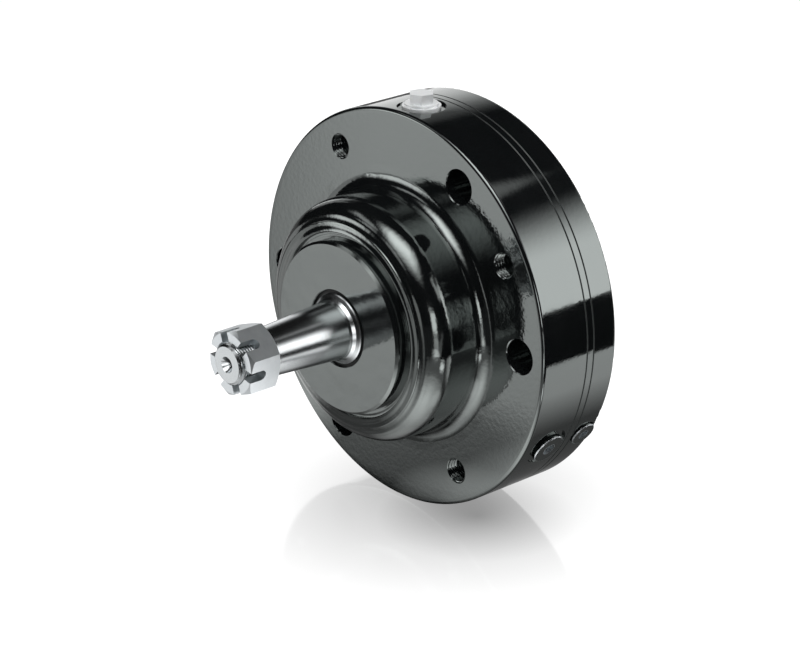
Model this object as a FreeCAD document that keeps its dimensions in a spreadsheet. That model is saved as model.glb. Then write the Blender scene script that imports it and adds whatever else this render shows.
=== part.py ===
import FreeCAD, Part
import math
import os
import re
import Sketcher

# Spring applied, oil released disc brake. The axis runs along Y, with the tapered shaft end towards
# -Y. The origin lies on the axis in the front face of the mounting flange. Lengths are millimetres
# and angles degrees, turned from +X towards +Z.

os.makedirs("parts", exist_ok=True)
doc = FreeCAD.newDocument("hydraulic_brake")

# Driving sizes

DRIVING = {
    # the stack of castings
    "flange_radius": 100,
    "housing_depth": 29.0,
    "ring_depth": 4.3,
    "cover_depth": 15.1,
    "rim_round": 1.8,
    "cover_round": 1.5,
    "seam_chamfer": 0.4,
    "mouth_chamfer": 0.4,
    # the nose
    "neck_radius": 60.8,
    "neck_fillet": 7.0,
    "nose_length": 33.9,
    "nose_round": 13.5,
    "pad_inset": 9.2,
    "pad_root": 2.0,
    "pad_width": 5.6,
    "recess_depth": 1.5,
    # bearing bores and the oil space
    "front_cup_stand": 10.5,
    "rear_cup_stand": 7.0,
    "bore_step": 7.0,
    "reaction_face": 11.8,
    "lip_thickness": 2.0,
    "lip_height": 4.5,
    "oil_space_wall": 8.5,
    # flange holes and the screws that hold the stack
    "hole_inset": 16.0,
    "fixing_hole_radius": 8.5,
    "fixing_angle": 60.0,
    "fixing_pair": 2,
    "screw_angle": 30.0,
    "screw_count": 4,
    "screw_radius": 6.0,
    "screw_length": 35.0,
    "screw_tip_chamfer": 1.0,
    "screw_head_radius": 9.0,
    "screw_head_height": 12.0,
    "screw_socket_radius": 5.77,
    "screw_socket_depth": 6.0,
    "screw_seat_depth": 8.0,
    "screw_gap": 0.5,
    "thread_gap": 0.1,
    # torque pins
    "pin_radius": 3.5,
    "pin_inset": 1.5,
    "pin_count": 6,
    "pin_start": 3.0,
    "pin_fit": 0.03,
    "notch_gap": 0.3,
    # seal carrier and shaft seal
    "carrier_ledge": 2.8,
    "carrier_front": 39.6,
    "carrier_wall": 1.6,
    "carrier_gap": 1.6,
    "carrier_round": 1.2,
    "carrier_thread": 5.5,
    "seal_height": 7.5,
    "seal_width": 7.0,
    "fit_gap": 0.02,
    "running_gap": 0.05,
    # shaft
    "journal_radius": 17.5,
    "journal_front": 39.5,
    "taper_large_radius": 14.4,
    "taper_start": 44.0,
    "taper_end": 87.3,
    "taper_ratio": 8,
    "flare_start_rise": 0.35,
    "flare_start_length": 1.6,
    "flare_rise": 1.3,
    "flare_length": 3.0,
    "journal_chamfer": 0.5,
    "stud_radius": 10.0,
    "stud_end": 106.9,
    "stud_chamfer": 1.2,
    "centre_drill_radius": 4.0,
    "centre_drill_slope": 30.0,
    "collar_height": 2.5,
    "collar_width": 2.5,
    "seat_radius": 20.0,
    "shaft_rear": 36.0,
    "socket_radius": 12.5,
    "socket_length": 25.0,
    "socket_key_width": 8.0,
    "socket_key_depth": 3.3,
    # castle nut on the stud
    "nut_across_flats": 30.0,
    "nut_height": 17.4,
    "nut_face_radius": 15.0,
    "nut_chamfer_slope": 30.0,
    "nut_slot_width": 5.2,
    "nut_slot_depth": 9.0,
    "nut_slots": 6,
    "nut_mouth_chamfer": 0.8,
    "nut_turn": 348.0,
    # keys
    "key_angle": 208.0,
    "half_key_radius": 9.5,
    "half_key_width": 5.0,
    "half_key_height": 7.5,
    "half_key_stand": 2.3,
    "half_key_place": 60.0,
    "hub_key_width": 6.0,
    "hub_key_depth": 3.5,
    "hub_key_stand": 2.5,
    # tapered roller bearings
    "roller_slope": 12.0,
    "roller_half_taper": 1.8,
    "front_cup_width": 18.0,
    "front_bearing_width": 22.75,
    "front_cone_width": 21.0,
    "front_roller_middle": 17.0,
    "front_roller_stand": 12.0,
    "front_roller_radius": 4.6,
    "front_roller_length": 14.0,
    "front_roller_count": 14,
    "front_large_rib": 10.9,
    "front_small_rib": 7.1,
    "rear_cup_width": 9.0,
    "rear_cone_width": 11.8,
    "rear_roller_middle": 4.0,
    "rear_roller_stand": 7.0,
    "rear_roller_radius": 2.6,
    "rear_roller_length": 7.0,
    "rear_roller_count": 16,
    "rear_large_rib": 6.2,
    "rear_small_rib": 4.2,
    "raceway_gap": 0.08,
    "rib_gap": 0.2,
    "cage_thickness": 1.5,
    "cage_rim": 1.0,
    "cage_gap": 0.2,
    # splined hub, discs and plates
    "hub_tooth_stand": 8.5,
    "hub_root_stand": 6.4,
    "hub_length": 13.0,
    "hub_teeth": 12,
    "hub_slot_width": 6.6,
    "spline_gap": 0.3,
    "circlip_thickness": 1.6,
    "circlip_height": 3.5,
    "circlip_groove": 1.25,
    "disc_gap": 1.0,
    "disc_core": 1.4,
    "disc_thickness": 2.2,
    "facing_width": 17.0,
    "plate_gap": 0.4,
    "plate_width": 23.6,
    "separator_thickness": 1.6,
    "pressure_plate_thickness": 3.2,
    # piston, springs and their cover
    "piston_bore_gap": 5.5,
    "piston_web": 4.0,
    "piston_bore_wall": 6.5,
    "piston_step": 9.0,
    "piston_sleeve_wall": 3.5,
    "piston_flange": 6.0,
    "chamber_depth": 1.7,
    "piston_end_gap": 1.6,
    "spring_width": 20.0,
    "spring_gap": 1.5,
    "spring_thickness": 4.0,
    "spring_cone": 2.5,
    "boss_gap": 1.0,
    # seals
    "seal_section": 2.4,
    "seal_depth": 1.8,
    "housing_seal_wall": 1.4,
    "cover_seal_wall": 2.4,
    "piston_seal_offset": 2.0,
    # motor side
    "pilot_radius": 22.2,
    "motor_hole_pitch": 41.25,
    "motor_hole_radius": 5.0,
    "motor_hole_depth": 8.0,
    "motor_hole_count": 4,
    "motor_hole_angle": 45.0,
    # plugs and their ports
    "fill_angle": 90.0,
    "fill_inset": 14.0,
    "fill_seat_depth": 1.4,
    "fill_seat_radius": 12.0,
    "fill_washer_radius": 9.5,
    "fill_washer_thickness": 1.8,
    "fill_collar_radius": 8.2,
    "fill_collar_height": 1.0,
    "fill_hex_radius": 6.35,
    "fill_hex_height": 5.0,
    "fill_turn": 348.0,
    "plug_thread_radius": 5.0,
    "plug_thread_length": 10.0,
    "port_depth": 14.0,
    "port_drill_radius": 3.0,
    "drain_angle": 330.0,
    "drain_inset": 12.2,
    "drain_seat_depth": 1.2,
    "drain_seat_radius": 11.2,
    "drain_collar_radius": 8.5,
    "drain_collar_height": 3.0,
    "drain_socket_radius": 3.46,
    "drain_socket_depth": 4.0,
    "release_inset": 7.5,
    "release_seat_depth": 1.2,
    "release_seat_radius": 7.3,
    "release_collar_radius": 6.7,
    "release_collar_height": 2.3,
    "release_socket_radius": 2.89,
    "release_socket_depth": 3.2,
    "release_thread_radius": 4.0,
    "release_thread_length": 9.0,
    "release_port_depth": 18.8,
    "release_drill_radius": 1.25,
    "release_drill_slope": 26.0,
    # how far a cut runs past the material
    "overshoot": 1.0,
}

sizes = doc.addObject("Spreadsheet::Sheet", "Sizes")
for row, (alias, number) in enumerate(DRIVING.items(), 1):
    sizes.set(f"A{row}", alias.replace("_", " "))
    sizes.set(f"B{row}", str(number))
    sizes.setAlias(f"B{row}", alias)
doc.recompute()


def size(alias):
    return float(getattr(sizes, alias))


# Places worked out from the driving sizes

NOSE_FACE = "-nose_length"
RING_FACE = "housing_depth"
COVER_FACE = "(housing_depth + ring_depth)"
REAR_FACE = "(housing_depth + ring_depth + cover_depth)"
RECESS_FLOOR = "(recess_depth - nose_length)"
CUP_FACE = "(recess_depth - nose_length + carrier_thread)"
COLLAR_FACE = f"({CUP_FACE} + front_bearing_width)"
REAR_CONE_FACE = f"({COLLAR_FACE} + collar_width)"
HUB_FACE = f"({REAR_CONE_FACE} + rear_cone_width)"
HUB_END = f"({HUB_FACE} + hub_length)"
HOLE_PITCH = "(flange_radius - hole_inset)"
SCREW_SEAT = f"({REAR_FACE} - screw_seat_depth)"
FRONT_BORE_RADIUS = "(journal_radius + front_roller_stand + front_cup_stand)"
PAD_RADIUS = "(neck_radius - pad_inset)"
RECESS_RADIUS = f"({PAD_RADIUS} - pad_width)"
REAR_BORE_RADIUS = "(seat_radius + rear_roller_stand + rear_cup_stand)"
LIP_RADIUS = f"({REAR_BORE_RADIUS} - lip_height)"
CARRIER_RADIUS = f"({FRONT_BORE_RADIUS} + carrier_ledge)"
CARRIER_BORE = "(journal_radius + carrier_gap)"
SEAL_RADIUS = "(journal_radius + seal_height)"
COLLAR_RADIUS = "(seat_radius + collar_height)"
HUB_TIP_RADIUS = "(seat_radius + hub_tooth_stand)"
HUB_ROOT_RADIUS = "(seat_radius + hub_root_stand)"
CIRCLIP_RADIUS = "(seat_radius + circlip_height)"
OIL_SPACE_RADIUS = f"({HOLE_PITCH} - fixing_hole_radius - oil_space_wall)"
PIN_PITCH = f"({OIL_SPACE_RADIUS} - pin_inset)"
PLATE_RADIUS = f"({OIL_SPACE_RADIUS} - plate_gap)"
DISC_RADIUS = f"({PIN_PITCH} - pin_radius - disc_gap)"
FACING_INNER_RADIUS = f"({DISC_RADIUS} - facing_width)"
PLATE_BORE = f"({PLATE_RADIUS} - plate_width)"
PISTON_RADIUS = f"({HOLE_PITCH} - fixing_hole_radius - piston_bore_wall)"
SLEEVE_RADIUS = f"({PISTON_RADIUS} - piston_step)"
SLEEVE_BORE = f"({SLEEVE_RADIUS} - piston_sleeve_wall)"
PISTON_BORE = f"({HUB_TIP_RADIUS} + piston_bore_gap)"
SPRING_RADIUS = f"({SLEEVE_BORE} - spring_gap)"
SPRING_BORE = f"({SPRING_RADIUS} - spring_width)"
BOSS_RADIUS = f"({SLEEVE_BORE} - boss_gap)"
HOUSING_SEAL_RADIUS = f"({PIN_PITCH} + pin_radius + housing_seal_wall)"
COVER_SEAL_RADIUS = f"({PISTON_RADIUS} + cover_seal_wall)"
FILL_PLACE = f"({RING_FACE} - fill_inset)"
FILL_SEAT = "(flange_radius - fill_seat_depth)"
DRAIN_PLACE = f"({RING_FACE} - drain_inset)"
DRAIN_SEAT = "(flange_radius - drain_seat_depth)"
RELEASE_PLACE = f"({REAR_FACE} - release_inset)"
RELEASE_SEAT = "(flange_radius - release_seat_depth)"
RELEASE_PORT_END = f"({RELEASE_SEAT} - release_port_depth)"
SEPARATOR_FACE = "(reaction_face + disc_thickness)"
SECOND_DISC_FACE = f"({SEPARATOR_FACE} + separator_thickness)"
PRESSURE_FACE = f"({SECOND_DISC_FACE} + disc_thickness)"
PISTON_FACE = f"({PRESSURE_FACE} + pressure_plate_thickness)"
WEB_BACK = f"({PISTON_FACE} + piston_web)"
FLANGE_FRONT = f"({COVER_FACE} + chamber_depth)"
FLANGE_BACK = f"({FLANGE_FRONT} + piston_flange)"
SPRING_WALL = f"({WEB_BACK} + 2 * (spring_thickness + spring_cone))"
TAPER_SMALL_RADIUS = "(taper_large_radius - (taper_end - taper_start) / (2 * taper_ratio))"
KEY_SEAT_RADIUS = "(taper_large_radius - (half_key_place - taper_start) / (2 * taper_ratio))"
SOCKET_FLOOR = "(shaft_rear - socket_length)"


# Parametric building blocks

# A new sketch has its corners on a circle clear of both axes until its sizes are tied to it
FIRST_SPOTS_CENTRE = 50
FIRST_SPOTS_RADIUS = 20
# A rotation of zero would lose its axis before its angle is tied
FIRST_ANGLE = 10
NEAR = 0.01
SIDE_COUNT = 6
FULL_ANGLE = 360

def bound(text):
    return re.sub(r"\b(?!(?:sin|cos|tan|sqrt)\b)([a-z]\w*)", r"Sizes.\1", str(text))


def tie(item, path, text):
    item.setExpression(path, bound(text))


def new_body(label):
    body = doc.addObject("PartDesign::Body", label)
    body.Label = label
    body.AllowCompound = True
    return body


def attach(item, body, role, shift=("0", "0", "0"), turn="0", turn_axis=(0, 0, 1)):
    plane = next(each for each in body.Origin.OriginFeatures if each.Role == role)
    item.AttachmentSupport = [(plane, "")]
    item.MapMode = "FlatFace"
    item.AttachmentOffset = FreeCAD.Placement(
        FreeCAD.Vector(), FreeCAD.Rotation(FreeCAD.Vector(*turn_axis), FIRST_ANGLE)
    )
    tie(item, "AttachmentOffset.Rotation.Angle", turn)
    for axis, text in zip("xyz", shift):
        tie(item, f"AttachmentOffset.Base.{axis}", text)


def draw(body, name, corners, angle="0"):
    """Closed outline in the half plane at one angle; a corner is (radius, place along the axis)."""
    sketch = body.newObject("Sketcher::SketchObject", name)
    attach(sketch, body, "XY_Plane", turn=angle, turn_axis=(0, -1, 0))
    count = len(corners)
    spots = []
    for index in range(count):
        swing = 2 * math.pi * index / count
        spots.append(
            FreeCAD.Vector(
                FIRST_SPOTS_CENTRE + FIRST_SPOTS_RADIUS * math.cos(swing),
                FIRST_SPOTS_RADIUS * math.sin(swing),
                0,
            )
        )
    lines = [Part.LineSegment(spots[index], spots[(index + 1) % count]) for index in range(count)]
    sketch.addGeometry(lines, False)
    constraints = [
        Sketcher.Constraint("Coincident", index, 2, (index + 1) % count, 1) for index in range(count)
    ]
    ties = []
    for index, corner in enumerate(corners):
        for kind, text, value, axis in (
            ("DistanceX", corner[0], spots[index].x, -2),
            ("DistanceY", corner[1], spots[index].y, -1),
        ):
            if text == "0":
                constraints.append(Sketcher.Constraint("PointOnObject", index, 1, axis))
            else:
                ties.append((len(constraints), text))
                constraints.append(Sketcher.Constraint(kind, -1, 1, index, 1, value))
    sketch.addConstraint(constraints)
    for place, text in ties:
        tie(sketch, f"Constraints[{place}]", text)
    return sketch


def turned(body, name, corners, axis="V_Axis", angle="0", cut=False):
    kind = "PartDesign::Groove" if cut else "PartDesign::Revolution"
    sketch = draw(body, name + "_outline", corners, angle)
    feature = body.newObject(kind, name)
    feature.Profile = sketch
    feature.ReferenceAxis = (sketch, [axis])
    feature.Angle = FULL_ANGLE
    return feature


def patterned(body, name, features, count):
    pattern = body.newObject("PartDesign::PolarPattern", name)
    pattern.Originals = features
    axis = next(each for each in body.Origin.OriginFeatures if each.Role == "Y_Axis")
    pattern.Axis = (axis, [""])
    pattern.Angle = FULL_ANGLE
    tie(pattern, "Occurrences", count)
    body.Tip = pattern
    return pattern


def block(body, name, start, extent, cut=False):
    """Straight block from its lowest corner."""
    kind = "PartDesign::SubtractiveBox" if cut else "PartDesign::AdditiveBox"
    feature = body.newObject(kind, name)
    attach(feature, body, "XY_Plane", start)
    for side, text in zip(("Length", "Width", "Height"), extent):
        tie(feature, side, text)
    return feature


def hexagon(body, name, plane, shift, radius, height, turn="0", cut=False):
    kind = "PartDesign::SubtractivePrism" if cut else "PartDesign::AdditivePrism"
    feature = body.newObject(kind, name)
    attach(feature, body, plane, shift, turn)
    feature.Polygon = SIDE_COUNT
    tie(feature, "Circumradius", radius)
    tie(feature, "Height", height)
    return feature


def rod(body, name, plane, shift, radius, height, cut=False):
    kind = "PartDesign::SubtractiveCylinder" if cut else "PartDesign::AdditiveCylinder"
    feature = body.newObject(kind, name)
    attach(feature, body, plane, shift)
    tie(feature, "Radius", radius)
    tie(feature, "Height", height)
    return feature


def rims(feature, radius, place):
    """Names of the edges that circle the axis at one radius and place."""
    found = []
    for index, edge in enumerate(feature.Shape.Edges, 1):
        curve = edge.Curve
        if not isinstance(curve, Part.Circle):
            continue
        miss = max(
            math.hypot(curve.Center.x, curve.Center.z),
            abs(curve.Radius - radius),
            abs(curve.Center.y - place),
        )
        if miss < NEAR:
            found.append(f"Edge{index}")
    if not found:
        raise RuntimeError(f"{feature.Label} has no rim of radius {radius} at {place}")
    return found


def broken_rims(body, name, kind, places, amount):
    """Round or chamfer the rims of the last feature at each (radius, place)."""
    doc.recompute()
    last = body.Tip
    feature = body.newObject(f"PartDesign::{kind}", name)
    feature.Base = (last, [edge for radius, place in places for edge in rims(last, radius, place)])
    tie(feature, "Radius" if kind == "Fillet" else "Size", amount)
    return feature


def turn_body(body, angle, along="0", about=(0, -1, 0)):
    body.Placement = FreeCAD.Placement(
        FreeCAD.Vector(), FreeCAD.Rotation(FreeCAD.Vector(*about), FIRST_ANGLE)
    )
    tie(body, "Placement.Rotation.Angle", angle)
    tie(body, "Placement.Base.y", along)


def bore_profile(pitch, front, rear, radius, chamfer="mouth_chamfer"):
    """Hole along the axis with a broken edge at each mouth."""
    return [
        (pitch, front),
        (pitch, rear),
        (f"{pitch} + {radius} + {chamfer}", rear),
        (f"{pitch} + {radius}", f"{rear} - {chamfer}"),
        (f"{pitch} + {radius}", f"{front} + {chamfer}"),
        (f"{pitch} + {radius} + {chamfer}", front),
    ]


def fixing_holes(body, front, rear, chamfer):
    """Two pairs of plain holes for the bolts that hold the brake to its machine."""
    for name, angle in (("level_holes", "0"), ("sloping_holes", "fixing_angle")):
        hole = turned(
            body,
            name + "_hole",
            bore_profile(HOLE_PITCH, front, rear, "fixing_hole_radius", chamfer),
            "Edge1",
            angle,
            cut=True,
        )
        patterned(body, name, [hole], "fixing_pair")


def screw_holes(body, front, rear, radius, chamfer):
    hole = turned(
        body,
        "screw_hole",
        bore_profile(HOLE_PITCH, front, rear, radius, chamfer),
        "Edge1",
        "screw_angle",
        cut=True,
    )
    patterned(body, "screw_holes", [hole], "screw_count")


def ring_groove(body, name, inner, outer, front, rear):
    return turned(
        body, name, [(inner, front), (outer, front), (outer, rear), (inner, rear)], cut=True
    )


def plain_ring(label, inner, outer, front, rear):
    body = new_body(label)
    turned(body, "ring", [(inner, front), (outer, front), (outer, rear), (inner, rear)])
    return body


def port(body, name, angle, place, seat, seat_radius, steps):
    """Radial port: spot face, then each step as (floor radius, hole radius)."""
    corners = [
        (steps[-1][0], place),
        (f"flange_radius + {seat_radius}", place),
        (f"flange_radius + {seat_radius}", f"{place} + {seat_radius}"),
    ]
    mouth = seat
    corners.append((mouth, f"{place} + {seat_radius}"))
    for floor, radius in steps:
        corners.append((mouth, f"{place} + {radius}"))
        corners.append((floor, f"{place} + {radius}"))
        mouth = floor
    return turned(body, name, corners, "Edge1", angle, cut=True)


# Front housing: casting with the mounting flange, the rounded nose and both bearing bores

housing = new_body("front_housing")
turned(
    housing,
    "casting",
    [
        (RECESS_RADIUS, NOSE_FACE),
        ("neck_radius", NOSE_FACE),
        ("neck_radius", "0"),
        ("flange_radius", "0"),
        ("flange_radius", RING_FACE),
        (OIL_SPACE_RADIUS, RING_FACE),
        (OIL_SPACE_RADIUS, "reaction_face"),
        (LIP_RADIUS, "reaction_face"),
        (LIP_RADIUS, "reaction_face - lip_thickness"),
        (REAR_BORE_RADIUS, "reaction_face - lip_thickness"),
        (REAR_BORE_RADIUS, "-bore_step"),
        (FRONT_BORE_RADIUS, "-bore_step"),
        (FRONT_BORE_RADIUS, RECESS_FLOOR),
        (RECESS_RADIUS, RECESS_FLOOR),
    ],
)
broken_rims(housing, "neck_root", "Fillet", [(size("neck_radius"), 0)], "neck_fillet")
broken_rims(
    housing, "nose_shoulder", "Fillet", [(size("neck_radius"), -size("nose_length"))], "nose_round"
)
turned(
    housing,
    "machined_pad",
    [
        (RECESS_RADIUS, NOSE_FACE),
        (PAD_RADIUS, NOSE_FACE),
        (PAD_RADIUS, f"{NOSE_FACE} + pad_root"),
        (RECESS_RADIUS, f"{NOSE_FACE} + pad_root"),
    ],
)
broken_rims(housing, "front_rim", "Fillet", [(size("flange_radius"), 0)], "rim_round")
pad_rim = size("neck_radius") - size("pad_inset")
broken_rims(
    housing,
    "broken_edges",
    "Chamfer",
    [
        (size("flange_radius"), size("housing_depth")),
        (pad_rim - size("pad_width"), -size("nose_length")),
        (pad_rim, -size("nose_length")),
    ],
    "seam_chamfer",
)
ring_groove(
    housing,
    "seal_groove",
    HOUSING_SEAL_RADIUS,
    f"{HOUSING_SEAL_RADIUS} + seal_section",
    f"{RING_FACE} - seal_depth",
    RING_FACE,
)
fixing_holes(housing, "0", RING_FACE, "mouth_chamfer")
screw_holes(housing, "0", RING_FACE, "(screw_radius + thread_gap)", "mouth_chamfer")
pin_hole = turned(
    housing,
    "pin_hole",
    [
        (PIN_PITCH, "pin_start"),
        (PIN_PITCH, RING_FACE),
        (f"{PIN_PITCH} + pin_radius + pin_fit", RING_FACE),
        (f"{PIN_PITCH} + pin_radius + pin_fit", "pin_start"),
    ],
    "Edge1",
    cut=True,
)
patterned(housing, "pin_holes", [pin_hole], "pin_count")
oil_drilling = (f"{OIL_SPACE_RADIUS} - overshoot", "port_drill_radius")
for name, angle, place, seat in (
    ("fill", "fill_angle", FILL_PLACE, FILL_SEAT),
    ("drain", "drain_angle", DRAIN_PLACE, DRAIN_SEAT),
):
    port(
        housing,
        f"{name}_port",
        angle,
        place,
        seat,
        f"{name}_seat_radius",
        [(f"{seat} - port_depth", "(plug_thread_radius + thread_gap)"), oil_drilling],
    )

# Spacer ring: flat steel ring that closes the oil space and guides the piston sleeve

spacer = new_body("spacer_ring")
turned(
    spacer,
    "plate",
    [
        (f"{SLEEVE_RADIUS} + running_gap", RING_FACE),
        ("flange_radius", RING_FACE),
        ("flange_radius", COVER_FACE),
        (f"{SLEEVE_RADIUS} + running_gap", COVER_FACE),
    ],
)
broken_rims(
    spacer,
    "broken_edges",
    "Chamfer",
    [
        (size("flange_radius"), size("housing_depth")),
        (size("flange_radius"), size("housing_depth") + size("ring_depth")),
    ],
    "seam_chamfer",
)
ring_groove(
    spacer,
    "sleeve_seal_groove",
    SLEEVE_RADIUS,
    f"{SLEEVE_RADIUS} + running_gap + seal_depth",
    f"{RING_FACE} + (ring_depth - seal_section) / 2",
    f"{RING_FACE} + (ring_depth + seal_section) / 2",
)
fixing_holes(spacer, RING_FACE, COVER_FACE, "seam_chamfer")
screw_holes(spacer, RING_FACE, COVER_FACE, "(screw_radius + screw_gap)", "seam_chamfer")

# Rear cover: casting with the piston bore, the spring wall and the motor face

cover = new_body("rear_cover")
turned(
    cover,
    "casting",
    [
        (f"{PISTON_RADIUS} + running_gap", COVER_FACE),
        ("flange_radius", COVER_FACE),
        ("flange_radius", REAR_FACE),
        ("pilot_radius", REAR_FACE),
        ("pilot_radius", SPRING_WALL),
        (BOSS_RADIUS, SPRING_WALL),
        (BOSS_RADIUS, f"{FLANGE_BACK} + piston_end_gap"),
        (f"{PISTON_RADIUS} + running_gap", f"{FLANGE_BACK} + piston_end_gap"),
    ],
)
broken_rims(
    cover,
    "rear_rim",
    "Fillet",
    [(size("flange_radius"), size("housing_depth") + size("ring_depth") + size("cover_depth"))],
    "cover_round",
)
broken_rims(
    cover,
    "front_edge",
    "Chamfer",
    [(size("flange_radius"), size("housing_depth") + size("ring_depth"))],
    "seam_chamfer",
)
ring_groove(
    cover,
    "seal_groove",
    COVER_SEAL_RADIUS,
    f"{COVER_SEAL_RADIUS} + seal_section",
    COVER_FACE,
    f"{COVER_FACE} + seal_depth",
)
fixing_holes(cover, COVER_FACE, REAR_FACE, "mouth_chamfer")
counterbore = turned(
    cover,
    "screw_seat",
    [
        (HOLE_PITCH, COVER_FACE),
        (HOLE_PITCH, REAR_FACE),
        (f"{HOLE_PITCH} + screw_head_radius + screw_gap + mouth_chamfer", REAR_FACE),
        (f"{HOLE_PITCH} + screw_head_radius + screw_gap", f"{REAR_FACE} - mouth_chamfer"),
        (f"{HOLE_PITCH} + screw_head_radius + screw_gap", SCREW_SEAT),
        (f"{HOLE_PITCH} + screw_radius + screw_gap", SCREW_SEAT),
        (f"{HOLE_PITCH} + screw_radius + screw_gap", COVER_FACE),
    ],
    "Edge1",
    "screw_angle",
    cut=True,
)
patterned(cover, "screw_seats", [counterbore], "screw_count")
motor_hole = turned(
    cover,
    "motor_hole",
    [
        ("motor_hole_pitch", f"{REAR_FACE} - motor_hole_depth"),
        ("motor_hole_pitch", REAR_FACE),
        ("motor_hole_pitch + motor_hole_radius + mouth_chamfer", REAR_FACE),
        ("motor_hole_pitch + motor_hole_radius", f"{REAR_FACE} - mouth_chamfer"),
        ("motor_hole_pitch + motor_hole_radius", f"{REAR_FACE} - motor_hole_depth"),
    ],
    "Edge1",
    "motor_hole_angle",
    cut=True,
)
patterned(cover, "motor_holes", [motor_hole], "motor_hole_count")
port(
    cover,
    "release_port",
    "drain_angle",
    RELEASE_PLACE,
    RELEASE_SEAT,
    "release_seat_radius",
    [(RELEASE_PORT_END, "(release_thread_radius + thread_gap)")],
)
# The sloping drilling joins the port to the oil chamber in front of the piston flange
drill_start = f"({PISTON_RADIUS} - release_drill_radius / 2)"
drill_end = f"({RELEASE_PORT_END} + release_drill_radius)"
drill_front = f"({RELEASE_PLACE} - ({drill_end} - {drill_start}) * tan(release_drill_slope))"
drill_out = "release_drill_radius * sin(release_drill_slope)"
drill_up = "release_drill_radius * cos(release_drill_slope)"
turned(
    cover,
    "release_drilling",
    [
        (drill_start, drill_front),
        (drill_end, RELEASE_PLACE),
        (f"{drill_end} - {drill_out}", f"{RELEASE_PLACE} + {drill_up}"),
        (f"{drill_start} - {drill_out}", f"{drill_front} + {drill_up}"),
    ],
    "Edge1",
    "drain_angle",
    cut=True,
)

# Seal carrier: screwed disc in the nose that preloads the bearings and holds the shaft seal

carrier = new_body("seal_carrier")
turned(
    carrier,
    "disc",
    [
        (CARRIER_BORE, "-carrier_front"),
        (CARRIER_RADIUS, "-carrier_front"),
        (CARRIER_RADIUS, RECESS_FLOOR),
        (f"{FRONT_BORE_RADIUS} - fit_gap", RECESS_FLOOR),
        (f"{FRONT_BORE_RADIUS} - fit_gap", CUP_FACE),
        (f"{SEAL_RADIUS} + fit_gap", CUP_FACE),
        (f"{SEAL_RADIUS} + fit_gap", "carrier_wall - carrier_front"),
        (CARRIER_BORE, "carrier_wall - carrier_front"),
    ],
)
front_bore = size("journal_radius") + size("front_roller_stand") + size("front_cup_stand")
broken_rims(
    carrier,
    "front_edge",
    "Chamfer",
    [(front_bore + size("carrier_ledge"), -size("carrier_front"))],
    "carrier_round",
)
broken_rims(
    carrier,
    "bore_edge",
    "Chamfer",
    [(size("journal_radius") + size("carrier_gap"), -size("carrier_front"))],
    "seam_chamfer",
)

plain_ring(
    "shaft_seal",
    "journal_radius + running_gap",
    SEAL_RADIUS,
    "carrier_wall - carrier_front",
    "carrier_wall - carrier_front + seal_width",
)

# Output shaft: tapered end with a stud, bearing journals, hub seat and a keyed socket for the motor

shaft = new_body("output_shaft")
turned(
    shaft,
    "bar",
    [
        ("0", "-stud_end"),
        ("stud_radius - stud_chamfer", "-stud_end"),
        ("stud_radius", "stud_chamfer - stud_end"),
        ("stud_radius", "-taper_end"),
        (TAPER_SMALL_RADIUS, "-taper_end"),
        ("taper_large_radius", "-taper_start"),
        ("taper_large_radius + flare_start_rise", "flare_start_length - taper_start"),
        ("taper_large_radius + flare_rise", "flare_length - taper_start"),
        ("journal_radius - journal_chamfer", "-journal_front - journal_chamfer"),
        ("journal_radius", "-journal_front"),
        ("journal_radius", COLLAR_FACE),
        (COLLAR_RADIUS, COLLAR_FACE),
        (COLLAR_RADIUS, REAR_CONE_FACE),
        ("seat_radius", REAR_CONE_FACE),
        ("seat_radius", HUB_END),
        ("seat_radius - circlip_groove", HUB_END),
        ("seat_radius - circlip_groove", f"{HUB_END} + circlip_thickness"),
        ("seat_radius", f"{HUB_END} + circlip_thickness"),
        ("seat_radius", "shaft_rear - mouth_chamfer"),
        ("seat_radius - mouth_chamfer", "shaft_rear"),
        ("socket_radius + mouth_chamfer", "shaft_rear"),
        ("socket_radius", "shaft_rear - mouth_chamfer"),
        ("socket_radius", SOCKET_FLOOR),
        ("0", SOCKET_FLOOR),
    ],
)
turned(
    shaft,
    "centre_drill",
    [
        ("0", "-stud_end"),
        ("centre_drill_radius", "-stud_end"),
        ("0", "centre_drill_radius / tan(centre_drill_slope) - stud_end"),
    ],
    cut=True,
)
block(
    shaft,
    "socket_keyway",
    ("0", SOCKET_FLOOR, "-socket_key_width / 2"),
    ("socket_radius + socket_key_depth", "socket_length", "socket_key_width"),
    cut=True,
)
block(
    shaft,
    "hub_keyway",
    ("seat_radius - hub_key_depth", HUB_FACE, "-hub_key_width / 2"),
    ("hub_key_depth + overshoot", "hub_length", "hub_key_width"),
    cut=True,
)
half_key_centre = f"({KEY_SEAT_RADIUS} + half_key_stand - half_key_height + half_key_radius)"
rod(
    shaft,
    "half_key_slot",
    "XY_Plane",
    (half_key_centre, "-half_key_place", "-half_key_width / 2"),
    "half_key_radius",
    "half_key_width",
    cut=True,
)
turn_body(shaft, "key_angle")

half_key = new_body("woodruff_key")
rod(
    half_key,
    "disc",
    "XY_Plane",
    (half_key_centre, "-half_key_place", "fit_gap - half_key_width / 2"),
    "half_key_radius - fit_gap",
    "half_key_width - 2 * fit_gap",
)
block(
    half_key,
    "flat_top",
    (f"{KEY_SEAT_RADIUS} + half_key_stand", "-half_key_place - half_key_radius", "-half_key_width"),
    ("2 * half_key_radius", "2 * half_key_radius", "2 * half_key_width"),
    cut=True,
)
turn_body(half_key, "key_angle")

# Castle nut on the stud, with six round-bottomed slots

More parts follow.
